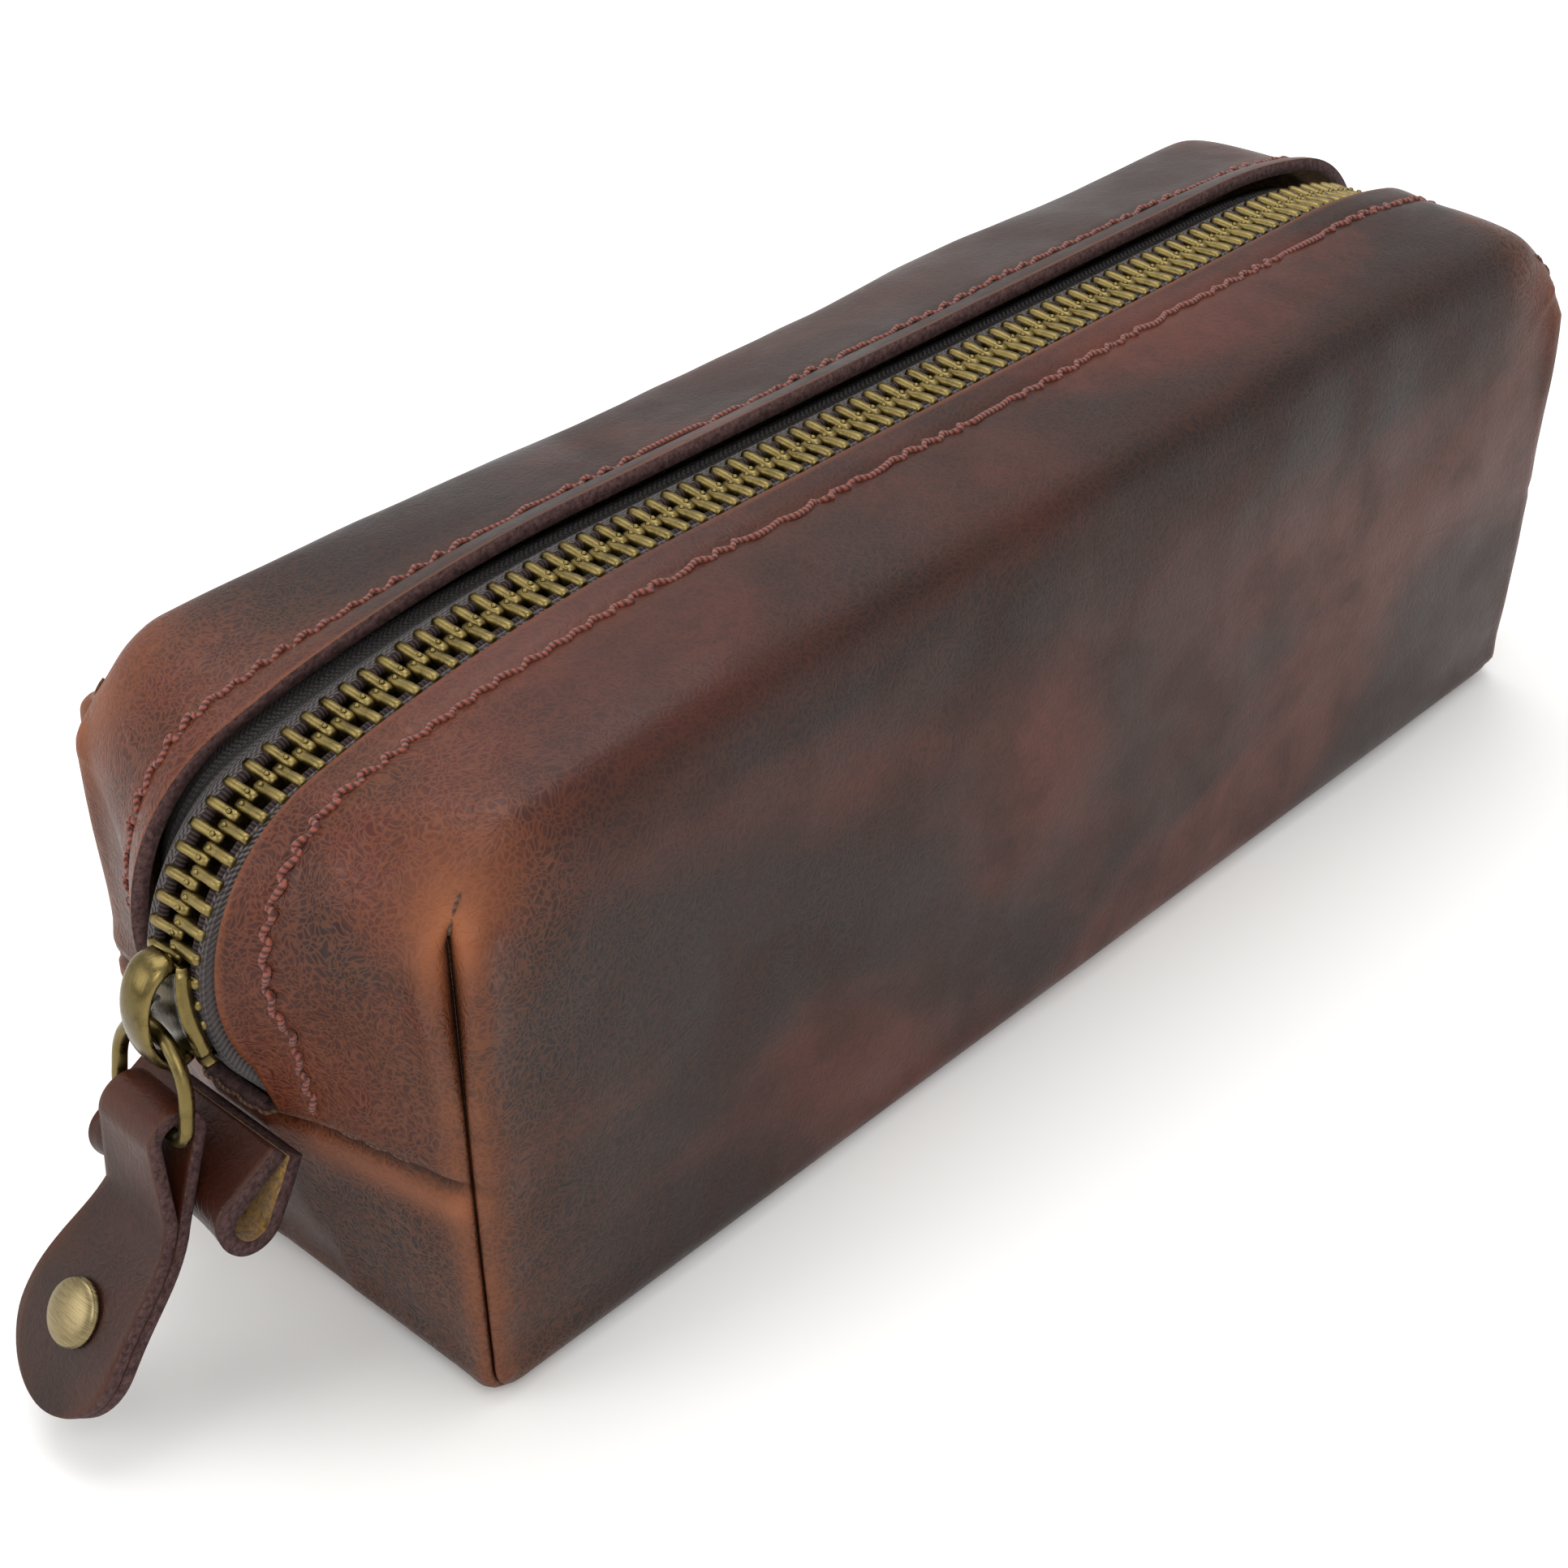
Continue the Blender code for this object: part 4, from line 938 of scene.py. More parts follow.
ZIP_LINE, ZIP_AHEAD, ZIP_OUT, ZIP_ALONG = zip_line()
SLIDER_PLACE = arc((NOSE[0], NOSE[2]), ZIP_RADIUS, np.array([math.pi - SLIDER_ANGLE]))
SLIDER_AT = float(ZIP_ALONG[np.argmin(np.linalg.norm(ZIP_LINE - SLIDER_PLACE, axis=-1))])


def zip_at(distance):
    """Place, direction and outward normal of the zip at distances from its near end."""
    lines = (ZIP_LINE, ZIP_AHEAD, ZIP_OUT)
    return [np.stack([np.interp(distance, ZIP_ALONG, each[:, k]) for k in range(2)], -1) for each in lines]


class BAG_OT_tape(bpy.types.Operator):
    """The two woven tapes, from the beads under the teeth to where they are sewn in."""

    bl_idname = "bag.tape"
    bl_label = "Zip tapes"

    def execute(self, context):
        look = herringbone_tape(context.scene.bag_colours)
        across = np.array([2.9, 3.3, 3.8, 4.3, 4.8, 5.3, 5.8, 6.3, 6.8, 8.0, 10.0, 12.0]) * MM
        fall = np.array([0.1, -0.15, 0.0, 0.05, 0.1, 0.25, 0.5, 0.85, 1.2, 1.7, 1.9, 2.0]) * MM
        rows = surface(across, ZIP_DEPTH + fall, slice(1, UPPER - 1))
        # Each end runs on 4 mm inside the shell, where the level seam holds it
        before = rows[:, :1] - 4 * MM * unit(rows[:, 1:2] - rows[:, :1])
        after = rows[:, -1:] - 4 * MM * unit(rows[:, -2:-1] - rows[:, -1:])
        rows = np.concatenate([before, rows, after], 1)
        along = lengths_along(rows[0])
        maps = np.stack(np.broadcast_arrays(along[None, :] / MM, across[:, None] / MM), -1)
        for name, side in (("left", 1), ("right", -1)):
            points = rows * np.array([1, side, 1])
            faces = grid_faces(*rows.shape[:2])
            if side > 0:
                faces = faces[:, ::-1]
            obj = piece(
                f"tape_{name}",
                points,
                faces,
                [look],
                "bag",
                "zip_tape",
                [f"zip_tape_{name}"],
                maps=maps,
                merge=0,
            )
            wall = obj.modifiers.new("weave", "SOLIDIFY")
            wall.thickness = 0.7 * MM
            wall.offset = 0.0
        return {"FINISHED"}


def bar(across, half, tall, shoulder):
    """A bar as (along, across, out) points: eight-sided sections at places across the zip, and its faces.

    half and tall are half its length along the zip and half its height at each place, and
    shoulder is the share of the height at which its edges begin to be rounded off.
    """
    flat = 0.6
    section = [
        (1, -shoulder), (1, shoulder), (flat, 1), (-flat, 1), (-1, shoulder), (-1, -shoulder), (-flat, -1)
    ]
    section = np.array(section + [(flat, -1)])
    along = half[:, None] * section[:, 0]
    out = tall[:, None] * section[:, 1]
    points = np.stack([along, np.broadcast_to(across[:, None], along.shape), out], -1)
    return points.reshape(-1, 3), tube_faces(len(across), len(section))


def tooth_shape():
    """One tooth: a rounded bar clamped on the bead, narrower at its neck and wide again at its head.

    Its half length along the zip is 0.66 mm at the heel, 0.62 at the neck and 0.70 at the head.
    """
    across = np.array([4.15, 4.0, 3.4, 2.6, 1.9, 1.2, 0.4, -0.3, -0.72, -0.85]) * MM
    half = np.array([0.30, 0.60, 0.66, 0.66, 0.62, 0.62, 0.70, 0.70, 0.56, 0.26]) * MM
    tall = np.array([0.55, 0.95, 1.05, 1.05, 0.98, 0.90, 0.86, 0.80, 0.62, 0.35]) * MM
    return bar(across, half, tall, 0.45)


def pip_shape():
    """The raised pip on a tooth's head: a four-step dome with a radius of 0.36 mm at its foot."""
    angles = np.arange(6) * math.pi / 3
    rings = [(0.36, 0.70), (0.30, 1.02), (0.16, 1.16)]
    points = [(r * math.cos(a), 0.30 + r * 1.2 * math.sin(a), h) for r, h in rings for a in angles]
    top = len(points)
    faces = grid_faces(3, 6, wrap_columns=True).tolist() + [(5, 4, 3, 2, 1, 0)]
    faces += [(top - 6 + k, top - 6 + (k + 1) % 6, top) for k in range(6)]
    return np.array(points + [(0, 0.30, 1.2)]) * MM, faces


def copies(shape, distances, side):
    """A small shape set out along the zip: x along it, y away from its middle, z out of it."""
    points, faces = shape
    place, ahead, out = zip_at(distances)
    made = np.empty((len(distances), len(points), 3))
    for axis, source in ((0, 0), (2, 1)):
        turned = points[:, 0] * ahead[:, None, source] + points[:, 2] * out[:, None, source]
        made[..., axis] = place[:, None, source] + turned
    made[..., 1] = side * points[:, 1]
    every = []
    for k in range(len(distances)):
        every += [[v + k * len(points) for v in (face[::-1] if side > 0 else face)] for face in faces]
    return made.reshape(-1, 3), every


def joined(shapes):
    """Several (points, faces) as one."""
    points, faces, total = [], [], 0
    for some, more in shapes:
        points.append(some)
        faces += [[v + total for v in face] for face in more]
        total += len(some)
    return np.concatenate(points), faces


class BAG_OT_teeth(bpy.types.Operator):
    """Both rows of brass teeth with their pips, the beads they are clamped on, and the stops."""

    bl_idname = "bag.teeth"
    bl_label = "Zip teeth"

    def execute(self, context):
        colours = context.scene.bag_colours
        look = antique_brass(colours, "antique_brass_teeth", 0.32)
        bead_look = corded_edge(colours)
        first = SLIDER_AT - 2.2 * MM
        last = ZIP_ALONG[-1] - 2.2 * MM
        for name, side in (("left", 1), ("right", -1)):
            begin = first + (TOOTH_PITCH / 2 if side < 0 else 0.0)
            distances = np.arange(begin, last, TOOTH_PITCH)
            shapes = [copies(tooth_shape(), distances, side), copies(pip_shape(), distances, side)]
            points, faces = joined(shapes)
            piece(f"teeth_{name}", points, faces, [look], "bag", "antique_brass", [f"zip_teeth_{name}"])
            steps = np.arange(begin - 2 * MM, last, 0.6 * MM)
            place, _, out = zip_at(steps)
            path = np.stack([place[:, 0], np.full(len(steps), side * 3.1 * MM), place[:, 1]], -1)
            rings = tube_points(path, 0.62 * MM, 8, np.array([0, 1, 0]))
            maps = np.stack(np.broadcast_arrays(steps[:, None] / MM, np.arange(8)[None, :] / 8), -1)
            piece(f"bead_{name}", rings, tube_faces(len(rings), 8), [bead_look], "bag", "zip_tape", maps=maps)
            stop = copies(stop_shape(), np.array([first - 2.6 * MM]), side)
            piece(f"end_stop_{name}", *stop, [look], "bag", "antique_brass", [f"top_stop_{name}"], merge=0)
        wide = copies(stop_shape(3.6 * MM, -3.6 * MM), np.array([last + 0.6 * MM]), 1)
        piece("far_stop", *wide, [look], "bag", "antique_brass", ["bottom_stop"], merge=0)
        return {"FINISHED"}


def stop_shape(outer=3.7 * MM, inner=0.5 * MM):
    """A crimped stop: a rounded bar across the bead, 2 mm long."""
    across = mix(outer, inner, np.array([0, 0.06, 0.2, 0.8, 0.94, 1.0]))
    swell = np.array([0.5, 0.85, 1.0, 1.0, 0.85, 0.5]) * MM
    return bar(across, swell, swell, 0.5)


def on_slider(along, across, out):
    """Points in the slider's own frame, which bends with the nose: down the zip, across it, and out."""
    angle = SLIDER_ANGLE - np.asarray(along) / ZIP_RADIUS
    radius = ZIP_RADIUS + np.asarray(out)
    x = NOSE[0] - radius * np.cos(angle)
    z = NOSE[2] + radius * np.sin(angle)
    return np.stack(np.broadcast_arrays(x, across, z), -1)


class BAG_OT_slider(bpy.types.Operator):
    """The slider: its top plate with a raised wing each side, and the hooked crown that holds the ring."""

    bl_idname = "bag.slider"
    bl_label = "Zip slider"

    def execute(self, context):
        colours = context.scene.bag_colours
        look = antique_brass(colours, "antique_brass_slider", 0.24)
        dark = antique_brass(colours, "antique_brass_underplate", 0.42)
        for name, metal in (("slider_lower_plate", dark), ("slider_lock_spring", spring_steel(colours))):
            materials = frame["nodes"][name].data.materials
            materials.clear()
            materials.append(metal)
        # Plate: half width grows down its length and steps in at a notch near the end
        u = np.linspace(-1, 1, 41)
        along = u * 6.1 * MM
        outline_u = [-1, -0.9, -0.55, -0.2, 0.25, 0.55, 0.62, 0.72, 0.8, 0.95, 1.0]
        outline_half = [2.9, 3.5, 3.75, 4.1, 4.75, 4.9, 4.35, 4.35, 4.8, 4.2, 3.5]
        half = np.interp(u, outline_u, outline_half) * MM
        v = np.array([-1, -1, -0.96, -0.86, -0.78, -0.70, -0.5, 0, 0.5, 0.70, 0.78, 0.86, 0.96, 1, 1])
        rise = [0.95, 1.6, 2.30, 2.62, 2.55, 2.20, 2.20, 2.28, 2.20, 2.20, 2.55, 2.62, 2.30, 1.6, 0.95]
        rise = np.array(rise) * MM
        end_fall = 0.55 * MM * (np.abs(u) ** 10)
        top = on_slider(
            along[:, None],
            half[:, None] * v[None, :],
            rise[None, :] - end_fall[:, None] * (rise[None, :] > 1.2 * MM),
        )
        under = on_slider(along[:, None], half[:, None] * np.linspace(0.9, -0.9, 5)[None, :], 1.42 * MM)
        shell = np.concatenate([top, under], 1)
        plate = piece(
            "slider_plate",
            shell,
            tube_faces(*shell.shape[:2]),
            [look],
            "slider",
            "antique_brass",
            ["slider_body"],
        )
        plate.modifiers.new("soft_edges", "BEVEL").width = 0.12 * MM
        # Crown: a domed strap that rises from the top of the plate and hooks over the ring
        t = np.linspace(0, 1, 37)
        arch = math.pi * t
        path_along = -5.9 * MM * np.cos(arch) * np.where(t < 0.5, 1.0, 0.92)
        path_out = 2.0 * MM + 3.75 * MM * np.sin(arch) ** 0.8
        width = np.interp(t, [0, 0.12, 0.35, 0.6, 0.85, 1.0], [2.25, 2.45, 2.3, 2.05, 1.75, 1.45]) * MM
        thick = np.interp(t, [0, 0.2, 0.5, 0.8, 1.0], [0.9, 0.75, 0.62, 0.66, 0.75]) * MM
        middle = np.stack([path_along, path_out], -1)
        ahead = unit(np.gradient(middle, axis=0))
        out = np.stack([-ahead[:, 1], ahead[:, 0]], -1)
        a = np.arange(20) * 2 * math.pi / 20
        c, s = np.cos(a), np.sin(a)
        across = np.sign(c) * np.abs(c) ** 0.75
        raised = np.sign(s) * np.abs(s) ** 0.75
        section_out = thick[:, None] * (raised + 0.25 * (1 - across**2))[None, :]
        crown_along = middle[:, None, 0] + out[:, None, 0] * section_out
        crown_out = middle[:, None, 1] + out[:, None, 1] * section_out
        crown = on_slider(crown_along, width[:, None] * across[None, :], crown_out)
        piece(
            "slider_hook",
            crown,
            tube_faces(*crown.shape[:2]),
            [look],
            "slider",
            "antique_brass",
            ["slider_crown"],
        )
        return {"FINISHED"}


def pull_frame():
    """Directions of the pull: across it (its hinge axis), and outwards from the bag, level."""
    across = np.array(PULL_AXIS)
    return across, unit(np.array([-across[1], across[0], 0.0]))


def ring_line(count):
    """The ring's wire: a round top, straight sides and a squared foot, at even steps."""
    half, tall, reach, corner = 6.3 * MM, 6.8 * MM, 11.3 * MM, 2.2 * MM
    a = np.linspace(0, math.pi, 40)
    top = np.stack([half * np.cos(a), tall * (1 - np.sin(a))], -1)
    b = np.linspace(0, math.pi / 2, 12)
    left = np.stack([-(half - corner) - corner * np.cos(b), reach - corner + corner * np.sin(b)], -1)
    line = np.concatenate([top, left, left[::-1] * np.array([-1, 1])])
    return evenly(np.concatenate([line, line[:1]]), count + 1)[:-1]


def strap_line(distance):
    """(outward, up) and lean of the pull at distances from the ring's bar.

    The lean grows evenly from 6 to 36 degrees, plus 28 degrees times sin^2 between 5 and 30 mm,
    and the place is the sum of its direction over small steps.
    """
    fine = np.linspace(0, STRAP_LENGTH, 400)
    share = np.clip((fine - 5 * MM) / (25 * MM), 0, 1)
    lean = np.radians(mix(6.0, 36.0, fine / STRAP_LENGTH) + 28 * np.sin(math.pi * share) ** 2)
    step = fine[1] - fine[0]
    outwards = np.concatenate([[0], np.cumsum(np.sin(lean[:-1]) * step)])
    down = np.concatenate([[0], np.cumsum(np.cos(lean[:-1]) * step)])
    inside = np.clip(distance, 0, None)
    before = np.minimum(distance, 0)
    first = lean[0]
    x = np.interp(inside, fine, outwards) + before * math.sin(first)
    z = -np.interp(inside, fine, down) - before * math.cos(first)
    return x, z, np.interp(inside, fine, lean)


def strap_half(distance):
    """Half width: even at the loop, a little waisted, then swelling into the round paddle at the tip."""
    radius = 8.9 * MM
    centre = STRAP_LENGTH - radius
    ease_out = ease(distance, 0, centre)
    neck = mix(5.0 * MM, radius, ease_out) - 0.35 * MM * bump(distance - 8 * MM, 5 * MM)
    paddle = np.sqrt(np.maximum(0, radius**2 - np.maximum(0, distance - centre) ** 2))
    return np.where(distance > centre, np.minimum(neck, paddle), neck)


def strap_point(along, offset, across):
    """A point of the pull: along it, off its middle line, and across it."""
    side, outwards = pull_frame()
    x, z, lean = strap_line(along)
    x = x + offset * np.cos(lean)
    z = z + offset * np.sin(lean)
    place = np.array(RING_BAR) + across[..., None] * side + x[..., None] * outwards
    return place + z[..., None] * np.array([0, 0, 1.0])


def teardrop(radius, ply, reach, count):
    """Half of the fold's section as (along, off) points, from its top round to where the plies meet."""
    tangent = math.acos((radius - ply) / reach)
    a = np.linspace(0, math.pi - tangent, count)
    return np.stack([-radius * np.cos(a), radius * np.sin(a)], -1)


def even_layers(wear, crease):
    """The leather's named values for a piece with no seams, so no painted seam shadow, with no painted grey
    sheen, and whose creases are even.
    """
    none = np.zeros_like(wear)
    return {"wear": wear, "painted_seam_shadow": none, "painted_sheen": none, "crease": none + crease}


def folded_line():
    """The strap's middle line as (along, off) points: down one ply, round the ring, and back."""
    ply = (STRAP_PLY + 0.12 * MM) / 2
    loop = teardrop(2.75 * MM, ply, 9 * MM, 18)
    along = mix(9 * MM, STRAP_LENGTH - 0.02 * MM, np.sin(np.linspace(0, 1, 34)[1:] * math.pi / 2))
    straight = np.stack([along, np.full(len(along), ply)], -1)
    half = np.concatenate([loop, straight])
    return np.concatenate([half[::-1], half[1:] * np.array([1, -1])])


class BAG_OT_pull(bpy.types.Operator):
    """The wire ring, the folded strap with its raw edges, and the rivet through it."""

    bl_idname = "bag.pull"
    bl_label = "Ring, strap and rivet"

    def execute(self, context):
        colours = context.scene.bag_colours
        wire = antique_brass(colours, "aged_brass_wire", 0.28)
        side, outwards = pull_frame()
        top, foot = np.array(RING_TOP), np.array(RING_BAR)
        hang = unit(foot - top)
        line = ring_line(120)
        path = top + line[:, :1] * side + line[:, 1:] * hang
        rings = tube_points(path, RING_WIRE, 16, np.cross(side, hang), closed=True)
        piece(
            "wire_ring",
            rings,
            grid_faces(120, 16, wrap_rows=True, wrap_columns=True),
            [wire],
            "ring",
            "antique_brass",
            ["pull_ring"],
        )
        # Strap
        middle = folded_line()
        rows = len(middle)
        ahead = unit(np.gradient(middle, axis=0))
        off = np.stack([-ahead[:, 1], ahead[:, 0]], -1)
        half = strap_half(np.maximum(middle[:, 0], 0))
        # Round its section: the outer face, three points of an edge, the inner face, and the other edge
        broad, edge_lift = 17, np.array([0.3, 0, -0.3])
        v = np.concatenate([np.linspace(-1, 1, broad), np.ones(3), np.linspace(1, -1, broad), -np.ones(3)])
        lift = np.concatenate([np.full(broad, 0.5), edge_lift, np.full(broad, -0.5), -edge_lift])
        rounded = np.where(np.abs(lift) == 0.5, 0, STRAP_LIP * np.sign(v) * (np.abs(v) == 1))
        shared = np.minimum(1, half[:, None] / STRAP_LIP)
        edge = np.maximum(half - STRAP_LIP, 0.02 * MM)[:, None] * v + rounded * shared
        grain = STRAP_PLY * lift[None, :]
        along = middle[:, :1] + off[:, :1] * grain
        offset = middle[:, 1:] + off[:, 1:] * grain
        points = strap_point(along, offset, edge)
        columns = len(v)
        faces = grid_faces(rows, columns, wrap_columns=True)
        column = faces[:, 0] % columns
        raw = (column % (broad + 3)) >= broad - 1
        picks = raw.astype(int)
        edge_wear = 0.5 * bump(np.abs(v)[None, :] - 1, 0.10)
        bend_wear = 0.35 * bump(middle[:, :1] + 2.5 * MM, 3 * MM)
        wear = 0.6 * np.clip(0.10 + edge_wear + bend_wear + 0.2 * noise(points, 5 * MM, 31), 0, 1)
        looks = [strap_leather(colours), cut_leather(colours)]
        piece(
            "folded_strap",
            points,
            tube_faces(rows, columns),
            looks,
            "strap",
            "strap_leather",
            ["pull_strap"],
            layers=even_layers(wear, 0.35),
            picks=np.concatenate([picks, [1, 1]]),
        )
        # Rivet
        at = STRAP_LENGTH - RIVET_UP
        x, z, lean = (float(value) for value in strap_line(np.array(at)))
        centre = foot + x * outwards + z * np.array([0, 0, 1.0])
        normal = math.cos(lean) * outwards + math.sin(lean) * np.array([0, 0, 1.0])
        down = np.cross(side, normal)
        turn = np.stack([side, down, normal], -1)
        face = STRAP_PLY + 0.10 * MM
        a = np.linspace(0, 1, 14)
        dome = np.stack(
            [3.75 * MM * np.sin(a * math.pi / 2), face + 0.55 * MM + 1.0 * MM * np.cos(a * math.pi / 2)], -1
        )
        rim = np.array([(3.9, 0.42), (3.9, 0.12), (3.75, 0.0), (0, 0.0)]) * MM + np.array([0, face])
        look = brushed_brass(colours)
        for name, node_name, way in (("rivet_head", "rivet_cap", 1), ("rivet_back", "rivet_post", -0.999)):
            local, some = spun(np.concatenate([dome, rim]), 48)
            maps = local[:, :2] / MM
            local = local * np.array([1, 1, way])
            piece(
                name, centre + local @ turn.T, some, [look], "strap", "antique_brass", [node_name], maps=maps
            )
        return {"FINISHED"}


class BAG_OT_tab(bpy.types.Operator):
    """The end tab: a wide fold of leather sewn into the level seam, with its suede side inwards."""

    bl_idname = "bag.tab"
    bl_label = "End tab"

    def execute(self, context):
        colours = context.scene.bag_colours
        lean = math.radians(42)
        outer = 3.9 * MM
        reach = 7.6 * MM
        ply = 1.05 * MM
        tangent = math.acos((outer - HIDE_HALF - ply) / reach)
        a = np.linspace(math.pi - tangent, -(math.pi - tangent), 33)
        lobe = np.stack([reach + (outer - HIDE_HALF) * np.cos(a), (outer - HIDE_HALF) * np.sin(a)], -1)
        neck = np.linspace(0, 1, 9)[:-1, None]
        first = mix(np.array([[0.0, ply]]), lobe[:1], neck**1.3)
        last = first[::-1] * np.array([1, -1])
        middle = np.concatenate([first, lobe, last])
        ahead = unit(np.gradient(middle, axis=0))
        off = np.stack([-ahead[:, 1], ahead[:, 0]], -1)
        outside = np.sign((off * (middle - np.array([reach / 2, 0]))).sum())
        off = off * outside
        low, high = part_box("end_tab")
        width = np.linspace(low[1], high[1], 21)
        share = (width - low[1]) / (high[1] - low[1])
        flare = 1 + 0.30 * np.abs(2 * share - 1) ** 3
        sag = 0.25 * MM * np.sin(math.pi * share)
        faces_of = {}
        for key, thick in (("outer", HIDE_HALF), ("inner", -HIDE_HALF)):
            section = middle + off * thick
            # The fold flares only on the side away from the bag, so that it can swing towards it
            spread = np.where(section[None, :, 1] > 0, flare[:, None], 1.0)
            swollen = np.stack([np.broadcast_to(section[:, 0], spread.shape), section[:, 1] * spread], -1)
            pushed = swollen[..., 0] + (flare[:, None] - 1) * 2.2 * MM - sag[:, None]
            swollen[..., 0] = np.where(section[None, :, 0] > reach * 0.6, pushed, swollen[..., 0])
            faces_of[key] = swollen
        columns = len(middle)
        loop = np.concatenate([faces_of["outer"], faces_of["inner"][::-1]], 0)
        y = np.concatenate([width, width[::-1]])
        x = TAB_ROOT[0] - loop[..., 0] * math.sin(lean) - loop[..., 1] * math.cos(lean)
        z = TAB_ROOT[2] - loop[..., 0] * math.cos(lean) + loop[..., 1] * math.sin(lean)
        points = np.stack([x, np.broadcast_to(y[:, None], x.shape), z], -1)
        rows = len(loop)
        faces = grid_faces(rows, columns, wrap_rows=True)
        row = faces[:, 0] // columns
        turn = len(width) - 1
        picks = np.where(row < turn, 0, np.where((row == turn) | (row == rows - 1), 1, 2))
        ends = [[r * columns for r in range(rows)][::-1], [r * columns + columns - 1 for r in range(rows)]]
        soft = noise(points, 5 * MM, 41)
        from_side = np.minimum(np.abs(y - low[1]), np.abs(y - high[1]))
        edge_wear = 0.3 * bump(from_side, 0.8 * MM)[:, None]
        wear = 0.7 * np.clip(0.25 + 0.35 * soft + edge_wear, 0, 1)
        looks = [strap_leather(colours), cut_leather(colours), suede(colours)]
        piece(
            "tab_fold",
            points,
            faces.tolist() + ends,
            looks,
            "tab",
            "strap_leather",
            ["end_tab"],
            layers=even_layers(wear, 0.4),
            picks=np.concatenate([picks, [1, 1]]),
        )
        return {"FINISHED"}


def stitched(path, out, pitch, radius, sides, arch, sink):
    """One tube for a row of stitches along a path, which it leaves and enters at each needle hole.

    Its height over the leather is arch * |sin(pi s / pitch)|^0.55 - sink, with s the distance.
    """
    along = lengths_along(path)
    beat = np.abs(np.sin(math.pi * along / pitch)) ** 0.55
    height = arch * beat - sink
    line = path + out * height[:, None]
    thick = radius * mix(0.80, 1.0, beat)
    rings = tube_points(line, thick, sides, out)
    maps = np.stack(np.broadcast_arrays(along[:, None] / MM, np.arange(sides)[None, :] / sides), -1)
    return rings, tube_faces(len(rings), sides), maps


class BAG_OT_stitching(bpy.types.Operator):
    """The two stitch lines beside the zip, and the seam threads that show deep in the pinched seams."""

    bl_idname = "bag.stitching"
    bl_label = "Stitching"

    def execute(self, context):
        sizes, colours = context.scene.bag_sizes, context.scene.bag_colours
        shaped, _, count = shape_skin(sizes)
        rows = len(shaped)
        row = rows - count + int(np.argmin(np.abs(ROW_PLACES - STITCH_ROW)))
        for name, side, radius in (("left", 1, sizes.thread * 0.92), ("right", -1, sizes.thread)):
            index = row if side > 0 else rows - 1 - row
            normal = grid_normals(shaped)[index, :UPPER]
            line = shaped[index, :UPPER]
            normal = normal * np.sign(normal[STARTS["top"] + 50, 2])
            total = lengths_along(line)[-1]
            steps = int(total / (sizes.stitch / 10))
            packed = evenly(np.concatenate([line, normal], -1)[3:-3], steps)
            # Each stitch slants a little across the row, as a lockstitch does
            along = lengths_along(packed[:, :3])
            phase = (along / sizes.stitch) % 1 - 0.5
            slant = 0.48 * MM * np.sin(phase * math.pi) * side
            path = packed[:, :3] + np.array([0, 1, 0]) * slant[:, None]
            look = waxed_thread(colours, f"waxed_thread_{name}", colours.thread_light)
            rings, faces, maps = stitched(
                path, unit(packed[:, 3:]), sizes.stitch, radius, 8, 0.42 * MM, 0.16 * MM
            )
            piece(
                f"stitches_{name}",
                rings,
                faces,
                [look],
                "bag",
                "thread",
                [f"zip_stitching_{name}"],
                maps=maps,
            )
        look = waxed_thread(colours, "seam_thread", colours.suede_dark)
        seam_row = rows - count + leather_rows()[2]
        low_from = STARTS["near_low"]
        for end, span in (
            ("near", np.r_[low_from + 7 : STATIONS, 0 : STARTS["top"] - 30]),
            ("far", np.r_[STARTS["far"] + 16 : STARTS["base"] - 7]),
        ):
            for name, side in (("left", 1), ("right", -1)):
                index = seam_row if side > 0 else rows - 1 - seam_row
                line = shaped[index, span]
                normal = grid_normals(shaped)[index, span]
                centre = np.array([0, 0, SIDE_TOP / 2])
                normal = normal * np.sign((normal * (line - centre)).sum(-1, keepdims=True))
                packed = evenly(np.concatenate([line, normal], -1), 120)
                rings, faces, maps = stitched(
                    packed[:, :3], unit(packed[:, 3:]), 3.6 * MM, 0.20 * MM, 6, 0.42 * MM, 0.30 * MM
                )
                piece(
                    f"seam_thread_{end}_{name}",
                    rings,
                    faces,
                    [look],
                    "bag",
                    "thread",
                    [f"corner_stitching_{end}_{name}"],
                    maps=maps,
                )
        for end, station in (("near", 0), ("far", UPPER - 1)):
            line = shaped[count - 18 : rows - count + 18, station]
            packed = evenly(line, 160)
            out = np.tile(np.array([-1.0 if end == "near" else 1.0, 0, 0]), (160, 1))
            rings, faces, maps = stitched(packed, out, 3.4 * MM, 0.24 * MM, 6, 0.45 * MM, 0.14 * MM)
            piece(
                f"seam_thread_{end}",
                rings,
                faces,
                [look],
                "bag",
                "thread",
                [f"end_stitching_{end}"],
                maps=maps,
            )
        return {"FINISHED"}


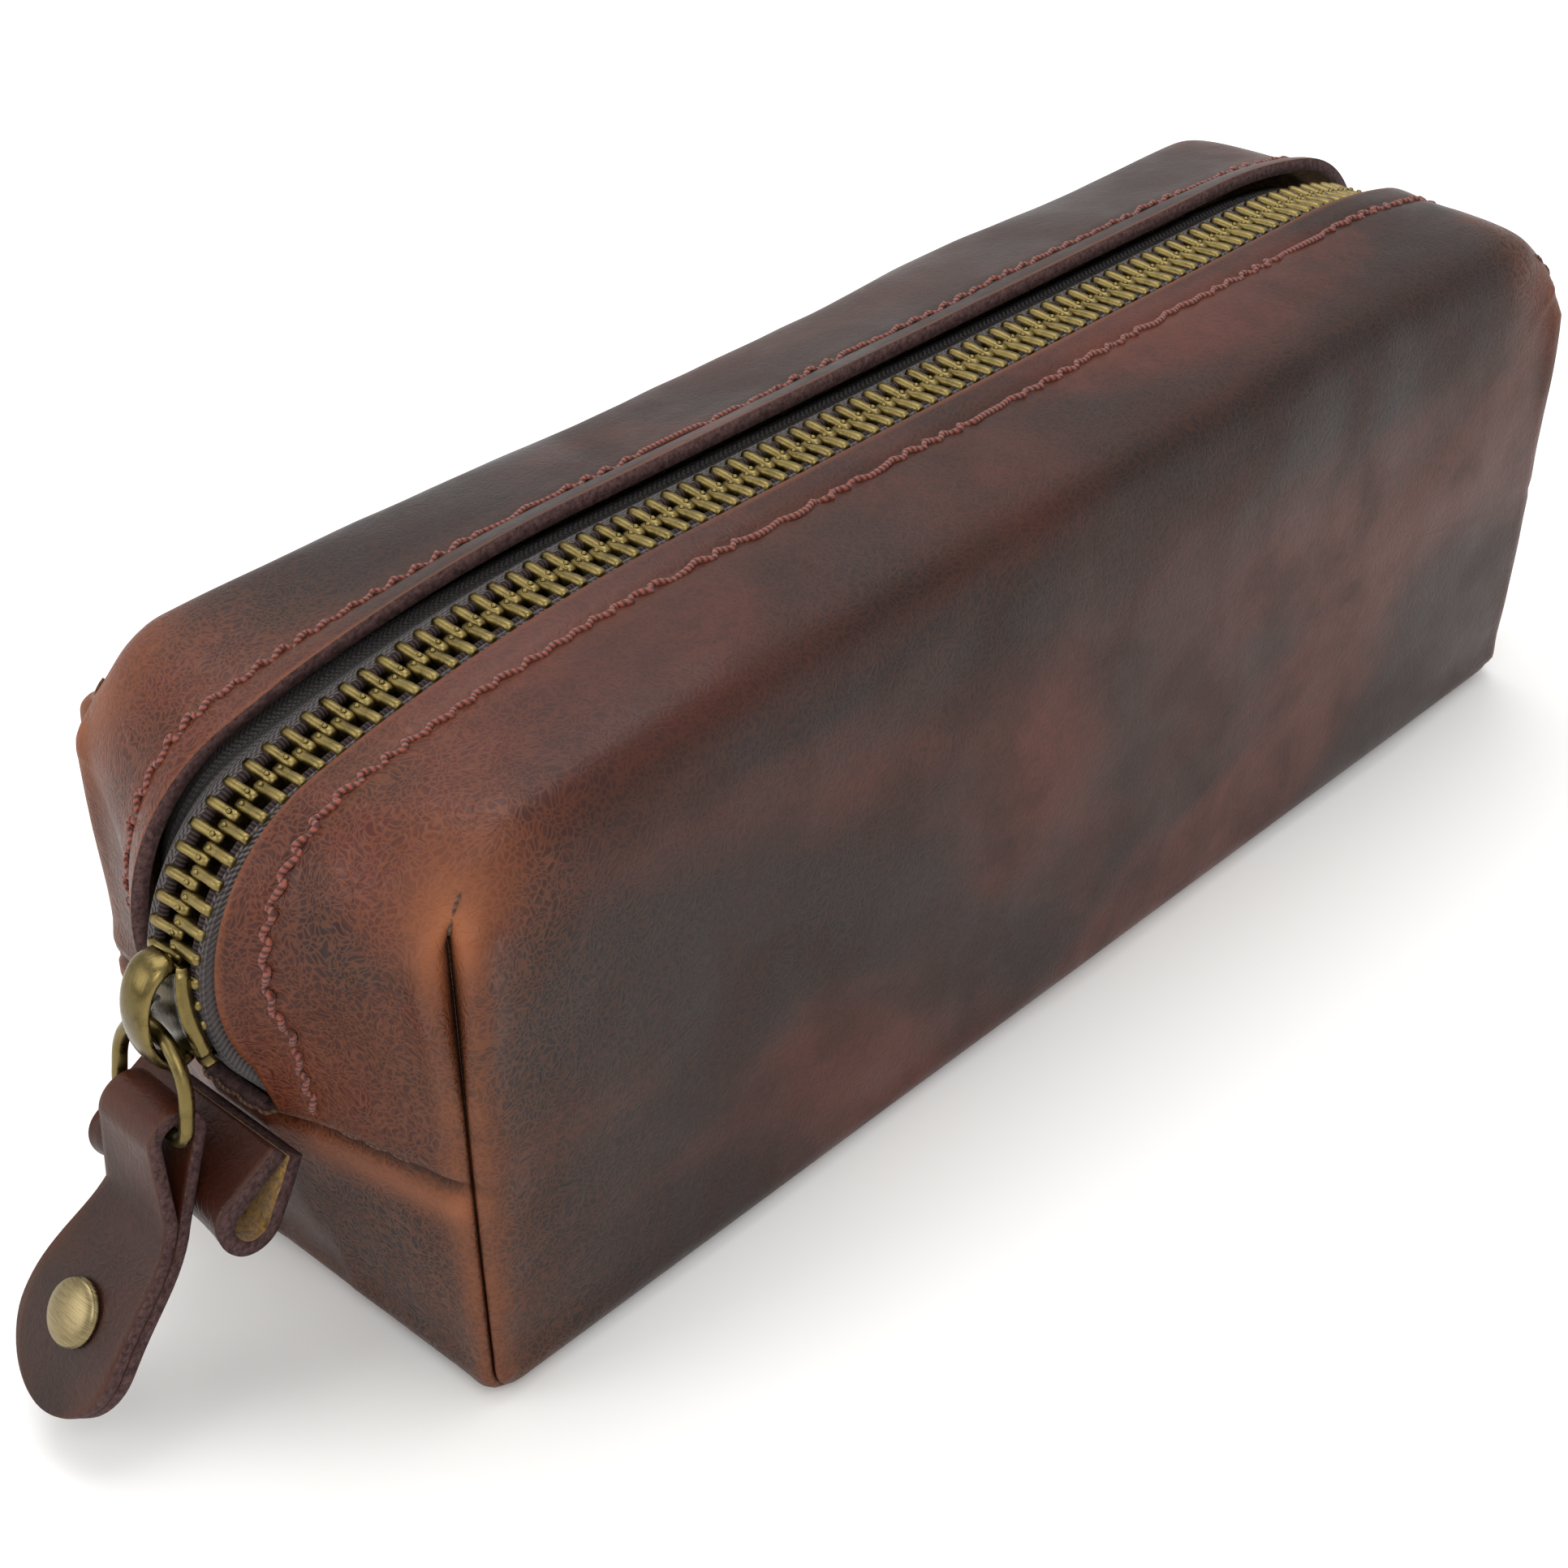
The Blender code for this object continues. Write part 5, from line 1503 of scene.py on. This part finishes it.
class BAG_OT_stage(bpy.types.Operator):
    """The pale floor, the soft lights and the camera."""

    bl_idname = "bag.stage"
    bl_label = "Stage"

    def execute(self, context):
        scene = context.scene
        data = bpy.data.meshes.new("floor")
        half = 3.0
        data.from_pydata(
            [(-half, -half, 0), (half, -half, 0), (half, half, 0), (-half, half, 0)], [], [(0, 1, 2, 3)]
        )
        made, _, _ = material(
            "matt_white_paint", Base_Color=colour("#f4f3f1"), Roughness=0.9, Specular_IOR_Level=0.1
        )
        data.materials.append(made)
        floor = bpy.data.objects.new("floor", data)
        scene.collection.objects.link(floor)
        world = bpy.data.worlds.new("pale_room")
        scene.world = world
        world.use_nodes = True
        world.node_tree.nodes["Background"].inputs[0].default_value = colour("#ffffff")
        world.node_tree.nodes["Background"].inputs[1].default_value = 0.85
        for name, place, size, power in (
            ("key_softbox", (-0.55, -0.75, 0.95), 0.7, 5.0),
            ("top_softbox", (0.15, 0.25, 1.15), 0.9, 7.0),
            ("side_softbox", (-0.95, 0.45, 0.5), 0.6, 3.0),
        ):
            light = bpy.data.lights.new(name, "AREA")
            light.shape = "SQUARE"
            light.size = size
            light.energy = power
            lamp = bpy.data.objects.new(name, light)
            lamp.location = place
            lamp.rotation_euler = (Vector((0, 0, 0.04)) - Vector(place)).to_track_quat("-Z", "Y").to_euler()
            scene.collection.objects.link(lamp)
        azimuth, elevation, roll = (math.radians(angle) for angle in CAMERA_TURN)
        level = math.cos(elevation)
        back = Vector((math.sin(azimuth) * level, -math.cos(azimuth) * level, math.sin(elevation)))
        view = bpy.data.cameras.new("camera")
        view.sensor_width = 36.0
        view.lens = CAMERA_LENS
        view.clip_start = 0.01
        camera = bpy.data.objects.new("camera", view)
        turn = (-back).to_track_quat("-Z", "Y") @ Matrix.Rotation(roll, 3, "Z").to_quaternion()
        camera.rotation_euler = turn.to_euler()
        camera.location = Vector(CAMERA_TARGET) + back * CAMERA_DISTANCE
        scene.collection.objects.link(camera)
        scene.camera = camera
        scene.view_settings.view_transform = "Standard"
        return {"FINISHED"}


class BAG_PT_panel(bpy.types.Panel):
    """Sidebar panel that lists the bag's pieces and settings."""

    bl_idname = "BAG_PT_panel"
    bl_label = "Shaving kit bag"
    bl_space_type = "VIEW_3D"
    bl_region_type = "UI"
    bl_category = "Shaving kit bag"

    def draw(self, context):
        for group in (context.scene.bag_sizes, context.scene.bag_colours):
            for key in group.__annotations__:
                self.layout.prop(group, key)
        for operator in OPERATORS:
            self.layout.operator(operator.bl_idname)


OPERATORS = (
    BAG_OT_leather,
    BAG_OT_tape,
    BAG_OT_teeth,
    BAG_OT_slider,
    BAG_OT_pull,
    BAG_OT_tab,
    BAG_OT_stitching,
    BAG_OT_stage,
)
CLASSES = (BagSizes, BagColours) + OPERATORS + (BAG_PT_panel,)


def register():
    for each in CLASSES:
        bpy.utils.register_class(each)
    bpy.types.Scene.bag_sizes = bpy.props.PointerProperty(type=BagSizes)
    bpy.types.Scene.bag_colours = bpy.props.PointerProperty(type=BagColours)


def unregister():
    del bpy.types.Scene.bag_colours
    del bpy.types.Scene.bag_sizes
    for each in reversed(CLASSES):
        bpy.utils.unregister_class(each)


def main():
    register()
    for operator in OPERATORS:
        group, name = operator.bl_idname.split(".")
        getattr(getattr(bpy.ops, group), name)()


if __name__ == "__main__":
    main()
